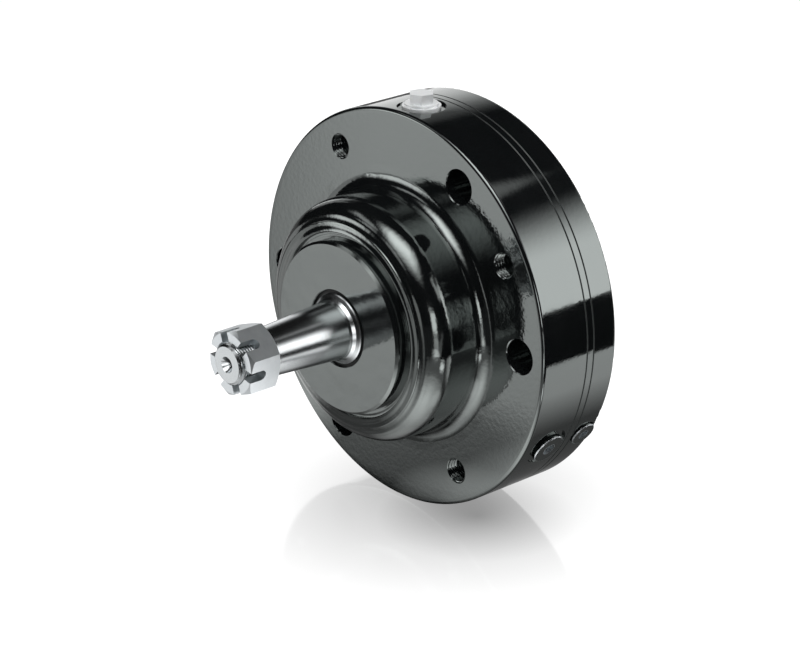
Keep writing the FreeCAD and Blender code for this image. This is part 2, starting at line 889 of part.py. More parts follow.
nut = new_body("castle_nut")
NUT_CORNER = "(nut_across_flats / sqrt(3))"
NUT_FRONT = "(-taper_end - nut_height)"
NUT_BEVEL = f"(({NUT_CORNER} + overshoot - nut_face_radius) * tan(nut_chamfer_slope))"
hexagon(nut, "blank", "XZ_Plane", ("0", "0", "taper_end"), NUT_CORNER, "nut_height", "30")
for name, face, step in (("front_bevel", NUT_FRONT, "+"), ("rear_bevel", "-taper_end", "-")):
    turned(
        nut,
        name,
        [
            ("nut_face_radius", face),
            (f"{NUT_CORNER} + overshoot", face),
            (f"{NUT_CORNER} + overshoot", f"{face} {step} {NUT_BEVEL}"),
        ],
        cut=True,
    )
turned(
    nut,
    "thread_bore",
    [
        ("0", "-taper_end"),
        ("stud_radius + running_gap + nut_mouth_chamfer", "-taper_end"),
        ("stud_radius + running_gap", "-taper_end - nut_mouth_chamfer"),
        ("stud_radius + running_gap", f"{NUT_FRONT} + nut_mouth_chamfer"),
        ("stud_radius + running_gap + nut_mouth_chamfer", NUT_FRONT),
        ("0", NUT_FRONT),
    ],
    cut=True,
)
slot_floor = f"({NUT_FRONT} + nut_slot_depth - nut_slot_width / 2)"
slot_block = block(
    nut,
    "slot_sides",
    ("0", f"{NUT_FRONT} - overshoot", "-nut_slot_width / 2"),
    (f"{NUT_CORNER} + overshoot", "overshoot + nut_slot_depth - nut_slot_width / 2", "nut_slot_width"),
    cut=True,
)
patterned(nut, "slots", [slot_block], "nut_slots")
slot_round = rod(
    nut,
    "slot_floor",
    "YZ_Plane",
    (slot_floor, "0", "0"),
    "nut_slot_width / 2",
    f"{NUT_CORNER} + overshoot",
    cut=True,
)
patterned(nut, "slot_floors", [slot_round], "nut_slots")
turn_body(nut, "nut_turn")


# Tapered roller bearings: the large ends of both roller rows face the shaft collar


def tapered_bearing(side, lean, cup_radius, cup_front, cup_rear, cone_bore, cone_front, cone_rear):
    """Cup, cone, rollers and cage; lean is +1 where the rollers rise towards +Y, else -1."""
    pitch = f"({cone_bore} + {side}_roller_stand)"
    radius = f"{side}_roller_radius"
    length = f"{side}_roller_length"
    middle = f"({'-' if side == 'front' else ''}{side}_roller_middle)"
    rise = "sin(roller_slope)"
    run = f"({lean} * cos(roller_slope))"
    small = f"({radius} - {length} / 2 * tan(roller_half_taper))"
    large = f"({radius} + {length} / 2 * tan(roller_half_taper))"

    def point(along, out):
        """Place on the roller: along its own axis from the middle, and out from that axis."""
        return (
            f"{pitch} + ({along}) * {rise} + ({out}) * cos(roller_slope)",
            f"{middle} + ({along}) * {run} - ({lean}) * ({out}) * {rise}",
        )

    def raceway(place, slope, end):
        """Radius of the line through one roller edge at a place along the axis."""
        edge_radius, edge_place = end
        return f"{edge_radius} + ({place} - ({edge_place})) * ({lean}) * tan({slope})"

    outer_edge = point(f"{length} / 2", f"({large} + raceway_gap)")
    inner_edge = point(f"{length} / 2", f"-({large} + raceway_gap)")
    inner_small_edge = point(f"-{length} / 2", f"-({small} + raceway_gap)")
    cup_slope = "(roller_slope + roller_half_taper)"

    cup = new_body(f"{side}_bearing_cup")
    turned(
        cup,
        "ring",
        [
            (f"{cup_radius} - fit_gap", cup_front),
            (f"{cup_radius} - fit_gap", cup_rear),
            (raceway(cup_rear, cup_slope, outer_edge), cup_rear),
            (raceway(cup_front, cup_slope, outer_edge), cup_front),
        ],
    )

    cone_slope = "(roller_slope - roller_half_taper)"
    small_face, large_face = (cone_front, cone_rear) if lean == "1" else (cone_rear, cone_front)
    small_rib = f"({middle} - ({lean}) * ({length} / 2 + rib_gap))"
    large_rib = f"({inner_edge[1]} + ({lean}) * rib_gap)"
    cone = new_body(f"{side}_bearing_cone")
    turned(
        cone,
        "ring",
        [
            (f"{cone_bore} + fit_gap", small_face),
            (f"{cone_bore} + {side}_small_rib", small_face),
            (f"{cone_bore} + {side}_small_rib", small_rib),
            (raceway(small_rib, cone_slope, inner_small_edge), small_rib),
            (raceway(large_rib, cone_slope, inner_small_edge), large_rib),
            (f"{cone_bore} + {side}_large_rib", large_rib),
            (f"{cone_bore} + {side}_large_rib", large_face),
            (f"{cone_bore} + fit_gap", large_face),
        ],
    )

    rollers = new_body(f"{side}_rollers")
    roller = turned(
        rollers,
        "roller",
        [
            point(f"-{length} / 2", "0"),
            point(f"{length} / 2", "0"),
            point(f"{length} / 2", large),
            point(f"-{length} / 2", small),
        ],
        "Edge1",
    )
    patterned(rollers, "row", [roller], f"{side}_roller_count")

    cage = new_body(f"{side}_bearing_cage")
    reach = f"({length} / 2 + cage_gap + cage_rim)"
    turned(
        cage,
        "strip",
        [
            point(f"-{reach}", "-cage_thickness / 2"),
            point(reach, "-cage_thickness / 2"),
            point(reach, "cage_thickness / 2"),
            point(f"-{reach}", "cage_thickness / 2"),
        ],
    )
    window = turned(
        cage,
        "window",
        [
            point(f"-{length} / 2 - cage_gap", "0"),
            point(f"{length} / 2 + cage_gap", "0"),
            point(f"{length} / 2 + cage_gap", f"{large} + cage_gap"),
            point(f"-{length} / 2 - cage_gap", f"{small} + cage_gap"),
        ],
        "Edge1",
        cut=True,
    )
    patterned(cage, "windows", [window], f"{side}_roller_count")


tapered_bearing(
    "front",
    "1",
    FRONT_BORE_RADIUS,
    CUP_FACE,
    f"{CUP_FACE} + front_cup_width",
    "journal_radius",
    f"{COLLAR_FACE} - front_cone_width",
    COLLAR_FACE,
)
tapered_bearing(
    "rear",
    "-1",
    REAR_BORE_RADIUS,
    "reaction_face - lip_thickness - rear_cup_width",
    "reaction_face - lip_thickness",
    "seat_radius",
    REAR_CONE_FACE,
    HUB_FACE,
)

# Splined hub keyed to the shaft, with its key and retaining ring

hub = new_body("disc_hub")
turned(
    hub,
    "blank",
    [
        ("seat_radius + fit_gap", HUB_FACE),
        (HUB_TIP_RADIUS, HUB_FACE),
        (HUB_TIP_RADIUS, HUB_END),
        ("seat_radius + fit_gap", HUB_END),
    ],
)
hub_slot = block(
    hub,
    "tooth_space",
    (HUB_ROOT_RADIUS, HUB_FACE, "-hub_slot_width / 2"),
    (f"{HUB_TIP_RADIUS} - {HUB_ROOT_RADIUS} + overshoot", "hub_length", "hub_slot_width"),
    cut=True,
)
patterned(hub, "teeth", [hub_slot], "hub_teeth")
block(
    hub,
    "keyway",
    ("0", HUB_FACE, "-hub_key_width / 2"),
    ("seat_radius + hub_key_stand + running_gap", "hub_length", "hub_key_width"),
    cut=True,
)
turn_body(hub, "key_angle")

hub_key = new_body("hub_key")
block(
    hub_key,
    "bar",
    ("seat_radius - hub_key_depth", HUB_FACE, "fit_gap - hub_key_width / 2"),
    ("hub_key_depth + hub_key_stand", "hub_length", "hub_key_width - 2 * fit_gap"),
)
turn_body(hub_key, "key_angle")

circlip = plain_ring(
    "hub_retaining_ring",
    "seat_radius - circlip_groove + fit_gap",
    CIRCLIP_RADIUS,
    HUB_END,
    f"{HUB_END} + circlip_thickness",
)
block(
    circlip,
    "gap",
    ("0", HUB_END, "-hub_key_width / 2"),
    (f"{CIRCLIP_RADIUS} + overshoot", "circlip_thickness", "hub_key_width"),
    cut=True,
)
turn_body(circlip, "key_angle")

# Friction discs that turn with the hub: thin core with a raised facing on each side

for number, face in ((1, "reaction_face"), (2, SECOND_DISC_FACE)):
    disc = new_body(f"friction_disc_{number}")
    core_front = f"({face} + (disc_thickness - disc_core) / 2)"
    core_rear = f"({face} + (disc_thickness + disc_core) / 2)"
    turned(
        disc,
        "plate",
        [
            (f"{HUB_ROOT_RADIUS} + spline_gap", core_front),
            (FACING_INNER_RADIUS, core_front),
            (FACING_INNER_RADIUS, face),
            (DISC_RADIUS, face),
            (DISC_RADIUS, f"{face} + disc_thickness"),
            (FACING_INNER_RADIUS, f"{face} + disc_thickness"),
            (FACING_INNER_RADIUS, core_rear),
            (f"{HUB_ROOT_RADIUS} + spline_gap", core_rear),
        ],
    )
    ring_groove(
        disc,
        "tip_space",
        HUB_ROOT_RADIUS,
        f"{HUB_TIP_RADIUS} + spline_gap",
        f"{core_front} - overshoot",
        f"{core_rear} + overshoot",
    )
    tooth = block(
        disc,
        "tooth",
        (f"{HUB_ROOT_RADIUS} + spline_gap", core_front, "spline_gap - hub_slot_width / 2"),
        ("hub_tooth_stand - hub_root_stand + overshoot", "disc_core", "hub_slot_width - 2 * spline_gap"),
    )
    patterned(disc, "teeth", [tooth], "hub_teeth")
    turn_body(disc, "key_angle")


# Steel plates that slide on the torque pins


def notched_plate(label, bore, face, thickness):
    plate = new_body(label)
    turned(
        plate,
        "plate",
        [
            (bore, face),
            (PLATE_RADIUS, face),
            (PLATE_RADIUS, f"{face} + {thickness}"),
            (bore, f"{face} + {thickness}"),
        ],
    )
    notch = turned(
        plate,
        "notch",
        [
            (PIN_PITCH, f"{face} - overshoot"),
            (PIN_PITCH, f"{face} + {thickness} + overshoot"),
            (f"{PIN_PITCH} + pin_radius + notch_gap", f"{face} + {thickness} + overshoot"),
            (f"{PIN_PITCH} + pin_radius + notch_gap", f"{face} - overshoot"),
        ],
        "Edge1",
        cut=True,
    )
    patterned(plate, "notches", [notch], "pin_count")


notched_plate("separator_plate", PLATE_BORE, SEPARATOR_FACE, "separator_thickness")
notched_plate(
    "pressure_plate", PISTON_BORE, PRESSURE_FACE, "pressure_plate_thickness"
)

pins = new_body("torque_pins")
pin = turned(
    pins,
    "pin",
    [
        (PIN_PITCH, "pin_start"),
        (PIN_PITCH, f"{RING_FACE} - running_gap"),
        (f"{PIN_PITCH} + pin_radius", f"{RING_FACE} - running_gap"),
        (f"{PIN_PITCH} + pin_radius", "pin_start"),
    ],
    "Edge1",
)
patterned(pins, "set", [pin], "pin_count")

# Piston: web that presses the plates, sleeve through the spacer ring and flange in the cover bore

piston = new_body("piston")
seal_front = f"({FLANGE_FRONT} + piston_seal_offset)"
seal_back = f"({FLANGE_FRONT} + piston_seal_offset + seal_section)"
turned(
    piston,
    "casting",
    [
        (PISTON_BORE, PISTON_FACE),
        (SLEEVE_RADIUS, PISTON_FACE),
        (SLEEVE_RADIUS, FLANGE_FRONT),
        (PISTON_RADIUS, FLANGE_FRONT),
        (PISTON_RADIUS, seal_front),
        (f"{PISTON_RADIUS} - seal_depth", seal_front),
        (f"{PISTON_RADIUS} - seal_depth", seal_back),
        (PISTON_RADIUS, seal_back),
        (PISTON_RADIUS, FLANGE_BACK),
        (SLEEVE_BORE, FLANGE_BACK),
        (SLEEVE_BORE, WEB_BACK),
        (PISTON_BORE, WEB_BACK),
    ],
)

# Disc springs: a pair set inner edge to inner edge between the piston web and the cover

for number, flat_edge in ((1, "outer"), (2, "inner")):
    spring = new_body(f"disc_spring_{number}")
    base = f"({WEB_BACK} + {number - 1} * (spring_thickness + spring_cone))"
    high = {"outer": ("spring_cone", "0"), "inner": ("0", "spring_cone")}[flat_edge]
    turned(
        spring,
        "cone",
        [
            (SPRING_BORE, f"{base} + {high[0]}"),
            (SPRING_RADIUS, f"{base} + {high[1]}"),
            (SPRING_RADIUS, f"{base} + {high[1]} + spring_thickness"),
            (SPRING_BORE, f"{base} + {high[0]} + spring_thickness"),
        ],
    )

# Rubber sealing rings

plain_ring(
    "housing_seal",
    f"{HOUSING_SEAL_RADIUS} + fit_gap",
    f"{HOUSING_SEAL_RADIUS} + seal_section - fit_gap",
    f"{RING_FACE} - seal_depth",
    RING_FACE,
)
plain_ring(
    "cover_seal",
    f"{COVER_SEAL_RADIUS} + fit_gap",
    f"{COVER_SEAL_RADIUS} + seal_section - fit_gap",
    COVER_FACE,
    f"{COVER_FACE} + seal_depth",
)
plain_ring(
    "sleeve_seal",
    f"{SLEEVE_RADIUS} + running_gap",
    f"{SLEEVE_RADIUS} + running_gap + seal_depth - fit_gap",
    f"{RING_FACE} + (ring_depth - seal_section) / 2 + fit_gap",
    f"{RING_FACE} + (ring_depth + seal_section) / 2 - fit_gap",
)
plain_ring(
    "piston_seal",
    f"{PISTON_RADIUS} - seal_depth + fit_gap",
    PISTON_RADIUS,
    f"{seal_front} + fit_gap",
    f"{seal_back} - fit_gap",
)

# Socket head screws that clamp the cover and the spacer ring to the housing

screws = new_body("cover_screws")
screw = turned(
    screws,
    "screw",
    [
        (HOLE_PITCH, f"{SCREW_SEAT} - screw_length"),
        (HOLE_PITCH, f"{SCREW_SEAT} + screw_head_height"),
        (f"{HOLE_PITCH} + screw_head_radius - mouth_chamfer", f"{SCREW_SEAT} + screw_head_height"),
        (f"{HOLE_PITCH} + screw_head_radius", f"{SCREW_SEAT} + screw_head_height - mouth_chamfer"),
        (f"{HOLE_PITCH} + screw_head_radius", SCREW_SEAT),
        (f"{HOLE_PITCH} + screw_radius", SCREW_SEAT),
        (f"{HOLE_PITCH} + screw_radius", f"{SCREW_SEAT} - screw_length + screw_tip_chamfer"),
        (f"{HOLE_PITCH} + screw_radius - screw_tip_chamfer", f"{SCREW_SEAT} - screw_length"),
    ],
    "Edge1",
)
socket = hexagon(
    screws,
    "socket",
    "XZ_Plane",
    (HOLE_PITCH, "0", f"-({SCREW_SEAT} + screw_head_height)"),
    "screw_socket_radius",
    "screw_socket_depth",
    cut=True,
)
patterned(screws, "set", [screw, socket], "screw_count")
turn_body(screws, "screw_angle")


# Plugs, modelled along X and then turned to their angle on the rim


def socket_plug(label, seat, collar, height, thread, length, socket, depth, angle, place):
    plug = new_body(label)
    turned(
        plug,
        "blank",
        [
            (f"{seat} - {length}", "0"),
            (f"{seat} + {height}", "0"),
            (f"{seat} + {height}", f"{collar} - seam_chamfer"),
            (f"{seat} + {height} - seam_chamfer", collar),
            (seat, collar),
            (seat, thread),
            (f"{seat} - {length}", thread),
        ],
        "Edge1",
    )
    hexagon(
        plug,
        "socket",
        "YZ_Plane",
        ("0", "0", f"{seat} + {height} - {depth}"),
        socket,
        depth,
        cut=True,
    )
    turn_body(plug, angle, place)


socket_plug(
    "drain_plug", DRAIN_SEAT, "drain_collar_radius", "drain_collar_height",
    "plug_thread_radius", "plug_thread_length", "drain_socket_radius", "drain_socket_depth",
    "drain_angle", DRAIN_PLACE,
)
socket_plug(
    "release_plug", RELEASE_SEAT, "release_collar_radius", "release_collar_height",
    "release_thread_radius", "release_thread_length", "release_socket_radius",
    "release_socket_depth", "drain_angle", RELEASE_PLACE,
)

fill_plug = new_body("fill_plug")
fill_face = f"({FILL_SEAT} + fill_washer_thickness)"
turned(
    fill_plug,
    "stem",
    [
        (f"{FILL_SEAT} - plug_thread_length", "0"),
        (f"{fill_face} + fill_collar_height", "0"),
        (f"{fill_face} + fill_collar_height", "fill_collar_radius"),
        (fill_face, "fill_collar_radius"),
        (fill_face, "plug_thread_radius"),
        (f"{FILL_SEAT} - plug_thread_length", "plug_thread_radius"),
    ],
    "Edge1",
)
hexagon(
    fill_plug,
    "head",
    "YZ_Plane",
    ("0", "0", fill_face),
    "fill_hex_radius",
    "fill_collar_height + fill_hex_height",
    "fill_turn",
)
turn_body(fill_plug, "fill_angle", FILL_PLACE)

washer = new_body("fill_plug_washer")
turned(
    washer,
    "ring",
    [
        (FILL_SEAT, "plug_thread_radius + thread_gap"),
        (fill_face, "plug_thread_radius + thread_gap"),
        (fill_face, "fill_washer_radius"),
        (FILL_SEAT, "fill_washer_radius"),
    ],
    "H_Axis",
)
turn_body(washer, "fill_angle", FILL_PLACE)

# Every feature must be sound and every cut must remove material before the pieces are written

doc.recompute()
for item in doc.Objects:
    if "Invalid" in item.State or "Error" in item.State:
        raise RuntimeError(f"{item.Label} is not built: {item.State}")
    cuts = item.isDerivedFrom("PartDesign::Groove") or "Subtractive" in item.TypeId
    if cuts and item.BaseFeature.Shape.Volume - item.Shape.Volume < NEAR:
        raise RuntimeError(f"{item.Label} cuts nothing")

pieces = [item for item in doc.Objects if item.isDerivedFrom("PartDesign::Body")]
for piece in pieces:
    if piece.Shape.isNull() or not piece.Shape.isValid():
        raise RuntimeError(f"{piece.Label} has no sound shape")
for piece in pieces:
    piece.Shape.exportStep(f"parts/{piece.Label}.step")
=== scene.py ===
import math

import bmesh
import bpy
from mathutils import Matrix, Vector


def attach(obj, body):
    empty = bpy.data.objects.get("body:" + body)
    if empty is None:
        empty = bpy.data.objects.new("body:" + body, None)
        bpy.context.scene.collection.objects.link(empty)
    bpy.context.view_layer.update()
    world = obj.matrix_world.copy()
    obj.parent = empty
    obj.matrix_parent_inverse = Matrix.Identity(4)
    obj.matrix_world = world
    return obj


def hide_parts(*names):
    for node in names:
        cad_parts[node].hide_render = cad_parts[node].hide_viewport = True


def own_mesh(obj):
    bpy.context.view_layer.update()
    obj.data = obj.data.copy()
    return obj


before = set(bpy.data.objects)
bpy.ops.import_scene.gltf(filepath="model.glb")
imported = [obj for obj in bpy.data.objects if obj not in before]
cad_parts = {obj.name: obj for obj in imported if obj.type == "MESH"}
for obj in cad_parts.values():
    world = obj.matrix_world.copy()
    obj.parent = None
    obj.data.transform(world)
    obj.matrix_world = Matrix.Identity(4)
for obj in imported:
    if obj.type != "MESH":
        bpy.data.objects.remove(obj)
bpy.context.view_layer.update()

# Front housing
# The main casting of grey iron: turned on the flange, the pad and the bores, left as cast around
# the nose. The screwed-up stack is dipped in enamel, so its holes and seams are coated too.


def linear(code):
    """A colour written as sRGB hex, in the linear values that shaders take."""
    channels = [int(code[start : start + 2], 16) / 255 for start in (1, 3, 5)]
    return [c / 12.92 if c <= 0.04045 else ((c + 0.055) / 1.055) ** 2.4 for c in channels] + [1.0]


def new_material(name):
    made = bpy.data.materials.new(name)
    made.use_nodes = True
    made.node_tree.nodes.clear()
    return made


def add(tree, kind, inputs=None, **settings):
    """One shader node, with its settings by name and its inputs as values, sockets or nodes.

    A node given as an input stands for its first output in use.
    """
    node = tree.nodes.new("ShaderNode" + kind)
    for name, value in settings.items():
        setattr(node, name, value)
    for name, value in (inputs or {}).items():
        if isinstance(value, bpy.types.Node):
            value = next(socket for socket in value.outputs if socket.enabled)
        if isinstance(value, bpy.types.NodeSocket):
            tree.links.new(value, node.inputs[name])
        else:
            node.inputs[name].default_value = value
    return node


def radius_of(tree, place):
    """Distance from the brake's axis."""
    flat = add(tree, "VectorMath", {0: place, 1: (1.0, 0.0, 1.0)}, operation="MULTIPLY")
    return add(tree, "VectorMath", {0: flat}, operation="LENGTH")


def coat(finish, *nodes):
    """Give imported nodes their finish."""
    for node in nodes:
        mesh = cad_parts[node].data
        mesh.materials.clear()
        mesh.materials.append(finish)


# Stoved gloss enamel: a deep black mirror. Its orange peel, 2.4 mm across, roughens the edges of
# what it mirrors; over the cast nose it also has slow waves that pull the highlights about.
PEEL_SIZE = 0.0024
PEEL_HEIGHT = 0.00005
RIM_START = 0.097
RIM_BLEND = 0.001
RIM_PEEL = 0.3
WAVE_SIZE = 0.011
WAVE_HEIGHT = 0.00016
CAST_OUTER = 0.072
CAST_BLEND = 0.006
TURNED_WAVE = 0.08
CLOUD_SIZE = 0.02
enamel = new_material("stoved_black_enamel")
tree = enamel.node_tree
place = add(tree, "TexCoord").outputs["Object"]
peel = add(tree, "TexNoise", {"Vector": place, "Scale": 1 / PEEL_SIZE, "Detail": 2.0})
wave = add(tree, "TexNoise", {"Vector": place, "Scale": 1 / WAVE_SIZE, "Detail": 1.0})
cloud = add(tree, "TexNoise", {"Vector": place, "Scale": 1 / CLOUD_SIZE, "Detail": 3.0})
out = radius_of(tree, place)
height = add(tree, "SeparateXYZ", {"Vector": place}).outputs["Y"]
as_cast = add(
    tree,
    "MapRange",
    {
        "Value": out,
        "From Min": CAST_OUTER - CAST_BLEND,
        "From Max": CAST_OUTER,
        "To Min": 1.0,
        "To Max": TURNED_WAVE,
    },
)
evenness = add(
    tree,
    "MapRange",
    {
        "Value": out,
        "From Min": RIM_START,
        "From Max": RIM_START + RIM_BLEND,
        "To Min": 1.0,
        "To Max": RIM_PEEL,
    },
)
film = add(tree, "Math", {0: wave, 1: as_cast}, operation="MULTIPLY")
# Turned ridges round the machined pad of the nose, 3.7 mm apart, softened by the enamel
RIDGE_CREST = 0.0436
RIDGE_PITCH = 0.0037
RIDGE_SHARE = 0.6
RIDGES_BEGIN = (0.0435, 0.045)
RIDGES_END = (0.0545, 0.056)
RIDGES_BACK = (-0.031, -0.029)
off_crest = add(tree, "Math", {0: out, 1: RIDGE_CREST}, operation="SUBTRACT")
turn = add(tree, "Math", {0: off_crest, 1: 2 * math.pi / RIDGE_PITCH}, operation="MULTIPLY")
ridge = add(tree, "Math", {0: turn}, operation="COSINE")
for along, (start, end), low, high in (
    (out, RIDGES_BEGIN, 0.0, 1.0),
    (out, RIDGES_END, 1.0, 0.0),
    (height, RIDGES_BACK, 1.0, 0.0),
):
    limits = {"Value": along, "From Min": start, "From Max": end, "To Min": low, "To Max": high}
    share = add(tree, "MapRange", limits)
    ridge = add(tree, "Math", {0: ridge, 1: share}, operation="MULTIPLY")
ridge = add(tree, "Math", {0: ridge, 1: RIDGE_SHARE}, operation="MULTIPLY")
# The pad falls away outwards by 20 degrees up to where the nose's round begins
PAD_INNER = 0.046
PAD_OUTER = 0.0516
PAD_ANGLE = 20
PAD_BACK = 0.01
pad_fall = (PAD_OUTER - PAD_INNER) * math.tan(math.radians(PAD_ANGLE)) / WAVE_HEIGHT
pad = add(
    tree,
    "MapRange",
    {"Value": out, "From Min": PAD_INNER, "From Max": PAD_OUTER, "To Min": pad_fall, "To Max": 0.0},
)
on_front = add(tree, "Math", {0: height, 1: PAD_BACK}, operation="LESS_THAN")
pad = add(tree, "Math", {0: pad, 1: on_front}, operation="MULTIPLY")
for relief in (ridge, pad):
    film = add(tree, "Math", {0: film, 1: relief}, operation="ADD")
# The rims are rounded to 1.8 mm in front and 1.5 mm at the rear; the film draws them quite even,
# so each takes its slope from the round's own centre line
FRONT_ROUND = (0.0982, 0.0018, "LESS_THAN")
REAR_ROUND = (0.0985, 0.0469, "GREATER_THAN")
slope = add(tree, "NewGeometry").outputs["Normal"]
flat = add(tree, "VectorMath", {0: place, 1: (1.0, 0.0, 1.0)}, operation="MULTIPLY")
outward = add(tree, "VectorMath", {0: flat}, operation="NORMALIZE")
for round_radius, round_height, side in (FRONT_ROUND, REAR_ROUND):
    centre = add(
        tree,
        "VectorMath",
        {0: outward, 1: (round_radius,) * 3, 2: (0.0, round_height, 0.0)},
        operation="MULTIPLY_ADD",
    )
    away = add(tree, "VectorMath", {0: place, 1: centre}, operation="SUBTRACT")
    even = add(tree, "VectorMath", {0: away}, operation="NORMALIZE")
    past_radius = add(tree, "Math", {0: out, 1: round_radius}, operation="GREATER_THAN")
    past_height = add(tree, "Math", {0: height, 1: round_height}, operation=side)
    on_round = add(tree, "Math", {0: past_radius, 1: past_height}, operation="MULTIPLY")
    slope = add(tree, "Mix", {"Factor": on_round, "A": slope, "B": even}, data_type="VECTOR")
waves = add(tree, "Bump", {"Distance": WAVE_HEIGHT, "Height": film, "Normal": slope})
# In the two seams of the stack the enamel has sunk in and stays dull
SEAM_PLACES = (0.029, 0.0333)
SEAM_HALF = 0.0005
seams = [
    add(tree, "Math", {0: height, 1: seam_place, 2: SEAM_HALF}, operation="COMPARE")
    for seam_place in SEAM_PLACES
]
in_seam = add(tree, "Math", {0: seams[0], 1: seams[1]}, operation="MAXIMUM")
dull = add(tree, "MapRange", {"Value": in_seam, "To Min": 0.0, "To Max": 0.3})
sunk = add(tree, "MapRange", {"Value": in_seam, "To Min": 0.5, "To Max": 0.15})
# Gloss varies in soft clouds and is a little lower on the nose, where the iron below is rough
clouded = add(
    tree,
    "MapRange",
    {"Value": cloud, "From Min": 0.3, "From Max": 0.7, "To Min": 0.03, "To Max": 0.09},
)
rougher = add(tree, "MapRange", {"Value": as_cast, "To Min": 0.0, "To Max": 0.045})
gloss = clouded
for extra in (rougher, dull):
    gloss = add(tree, "Math", {0: gloss, 1: extra}, operation="ADD")
drops = add(tree, "Math", {0: peel, 1: evenness}, operation="MULTIPLY")
orange_peel = add(tree, "Bump", {"Distance": PEEL_HEIGHT, "Height": drops, "Normal": waves})
black = add(
    tree,
    "Mix",
    {"Factor": cloud, "A": linear("#0e1011"), "B": linear("#17191a")},
    data_type="RGBA",
)
surface = add(
    tree,
    "BsdfPrincipled",
    {
        "Base Color": black,
        "Roughness": gloss,
        "IOR": 2.25,
        "Specular IOR Level": sunk,
        "Specular Tint": linear("#f2fbf8"),
        "Normal": orange_peel,
    },
)
add(tree, "OutputMaterial", {"Surface": surface})
coat(enamel, "front_housing")

# Spacer ring, rear cover and seal carrier
# Ground steel plate, grey iron casting and turned steel disc, clamped in the stack and dipped
# with it, so the same enamel runs over all three.
coat(enamel, "spacer_ring", "rear_cover", "seal_carrier")

# Cover screws
# Four hexagon-socket screws from the rear; their ends stand in the threaded flange holes. They
# were in place when the stack was dipped, so ends and heads are black.
coat(enamel, "cover_screws")

# Thread turns of the screw holes
# The last turns of the M12 threads, cut in the housing, show between the flange face and the
# screw ends. They are as black as the face around them.
SCREW_PITCH_RADIUS = 0.084
SCREW_ANGLES = (30, 120, 210, 300)
COARSE_PITCH = 0.00175
COARSE_ROOT = 0.00608
COARSE_CREST = 0.0053
THREAD_FRONT = 0.0007
THREAD_BACK = 0.0055
# The turns stay straight-flanked, with a short flat at the root and at the crest
FLANK_STEEPNESS = 2.6
ROOT_FLAT = 0.15


def thread_rise(y, turn, pitch):
    """How far the thread has risen from its root towards its crest, from 0 to 1."""
    share = (y / pitch + turn) % 1.0
    return max(0.0, min(1.0, (0.5 - abs(share - 0.5)) * FLANK_STEEPNESS - ROOT_FLAT))


def new_object(name, mesh):
    made = bpy.data.objects.new(name, mesh)
    bpy.context.scene.collection.objects.link(made)
    return made


def turned_surface(name, middle, start, end, radius, around, along):
    """A surface about a line along Y whose radius follows a rule of place and turn.

    It faces the line where it is built towards the rear, and outwards where towards the front.
    """
    verts = []
    for row in range(along + 1):
        y = start + (end - start) * row / along
        for column in range(around):
            turn = column / around
            reach = radius(y, turn)
            x = middle[0] + reach * math.cos(2 * math.pi * turn)
            z = middle[1] + reach * math.sin(2 * math.pi * turn)
            verts.append((x, y, z))
    faces = []
    for low in range(0, along * around, around):
        high = low + around
        for column in range(around):
            after = (column + 1) % around
            faces.append((low + column, low + after, high + after, high + column))
    mesh = bpy.data.meshes.new(name)
    mesh.from_pydata(verts, [], faces)
    mesh.update()
    return new_object(name, mesh)


def hole_radius(y, turn):
    if y in (THREAD_FRONT, THREAD_BACK):
        return COARSE_ROOT
    return COARSE_ROOT + (COARSE_CREST - COARSE_ROOT) * thread_rise(y, turn, COARSE_PITCH)


for number, degrees in enumerate(SCREW_ANGLES, 1):
    angle = math.radians(degrees)
    middle = (SCREW_PITCH_RADIUS * math.cos(angle), SCREW_PITCH_RADIUS * math.sin(angle))
    turns = turned_surface(
        f"screw_hole_thread_{number}",
        middle,
        THREAD_FRONT,
        THREAD_BACK,
        hole_radius,
        around=48,
        along=30,
    )
    turns.data.materials.append(enamel)
    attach(turns, "root")

# Drain plug and release plug
# Collared hexagon-socket plugs of turned steel, screwed in before the dip and painted over. The
# key has since rubbed their sockets and the edges of their collars down to the steel.
PLUG_ANGLE = math.radians(-30)
PLUG_AXIS = (math.cos(PLUG_ANGLE), 0.0, math.sin(PLUG_ANGLE))
RUBBED_EDGE = 0.0005
# Place along the brake's axis, collar radius, distance of the face from the axis, socket radius
DRAIN_PLUG = (0.0168, 0.0085, 0.1018, 0.0035)
RELEASE_PLUG = (0.0409, 0.0067, 0.1011, 0.0029)
# The same enamel with silvery steel coming through, uneven in smears about 1.4 mm across
SMEAR_SIZE = 0.00143
rubbed_enamel = enamel.copy()
rubbed_enamel.name = "enamel_rubbed_to_steel"
tree = rubbed_enamel.node_tree
place = add(tree, "TexCoord").outputs["Object"]
smear = add(tree, "TexNoise", {"Vector": place, "Scale": 1 / SMEAR_SIZE, "Detail": 2.0})
rubbed = 0.0
for plug_place, collar_radius, face_place, socket_radius in (DRAIN_PLUG, RELEASE_PLUG):
    beside = add(
        tree, "VectorMath", {0: place, 1: (0.0, plug_place, 0.0)}, operation="SUBTRACT"
    )
    swung = add(tree, "VectorMath", {0: beside, 1: PLUG_AXIS}, operation="CROSS_PRODUCT")
    off_axis = add(tree, "VectorMath", {0: swung}, operation="LENGTH")
    up_axis = add(tree, "VectorMath", {0: beside, 1: PLUG_AXIS}, operation="DOT_PRODUCT")
    ring = add(
        tree, "Math", {0: off_axis, 1: collar_radius, 2: RUBBED_EDGE}, operation="COMPARE"
    )
    on_face = add(tree, "Math", {0: up_axis, 1: face_place - RUBBED_EDGE}, operation="GREATER_THAN")
    edge = add(tree, "Math", {0: ring, 1: on_face}, operation="MULTIPLY")
    socket = add(tree, "Math", {0: off_axis, 1: socket_radius}, operation="LESS_THAN")
    for bare in (edge, socket):
        rubbed = add(tree, "Math", {0: bare, 1: rubbed}, operation="MAXIMUM")
patches = add(
    tree,
    "MapRange",
    {"Value": smear, "From Min": 0.35, "From Max": 0.6, "To Min": 0.7, "To Max": 1.0},
)
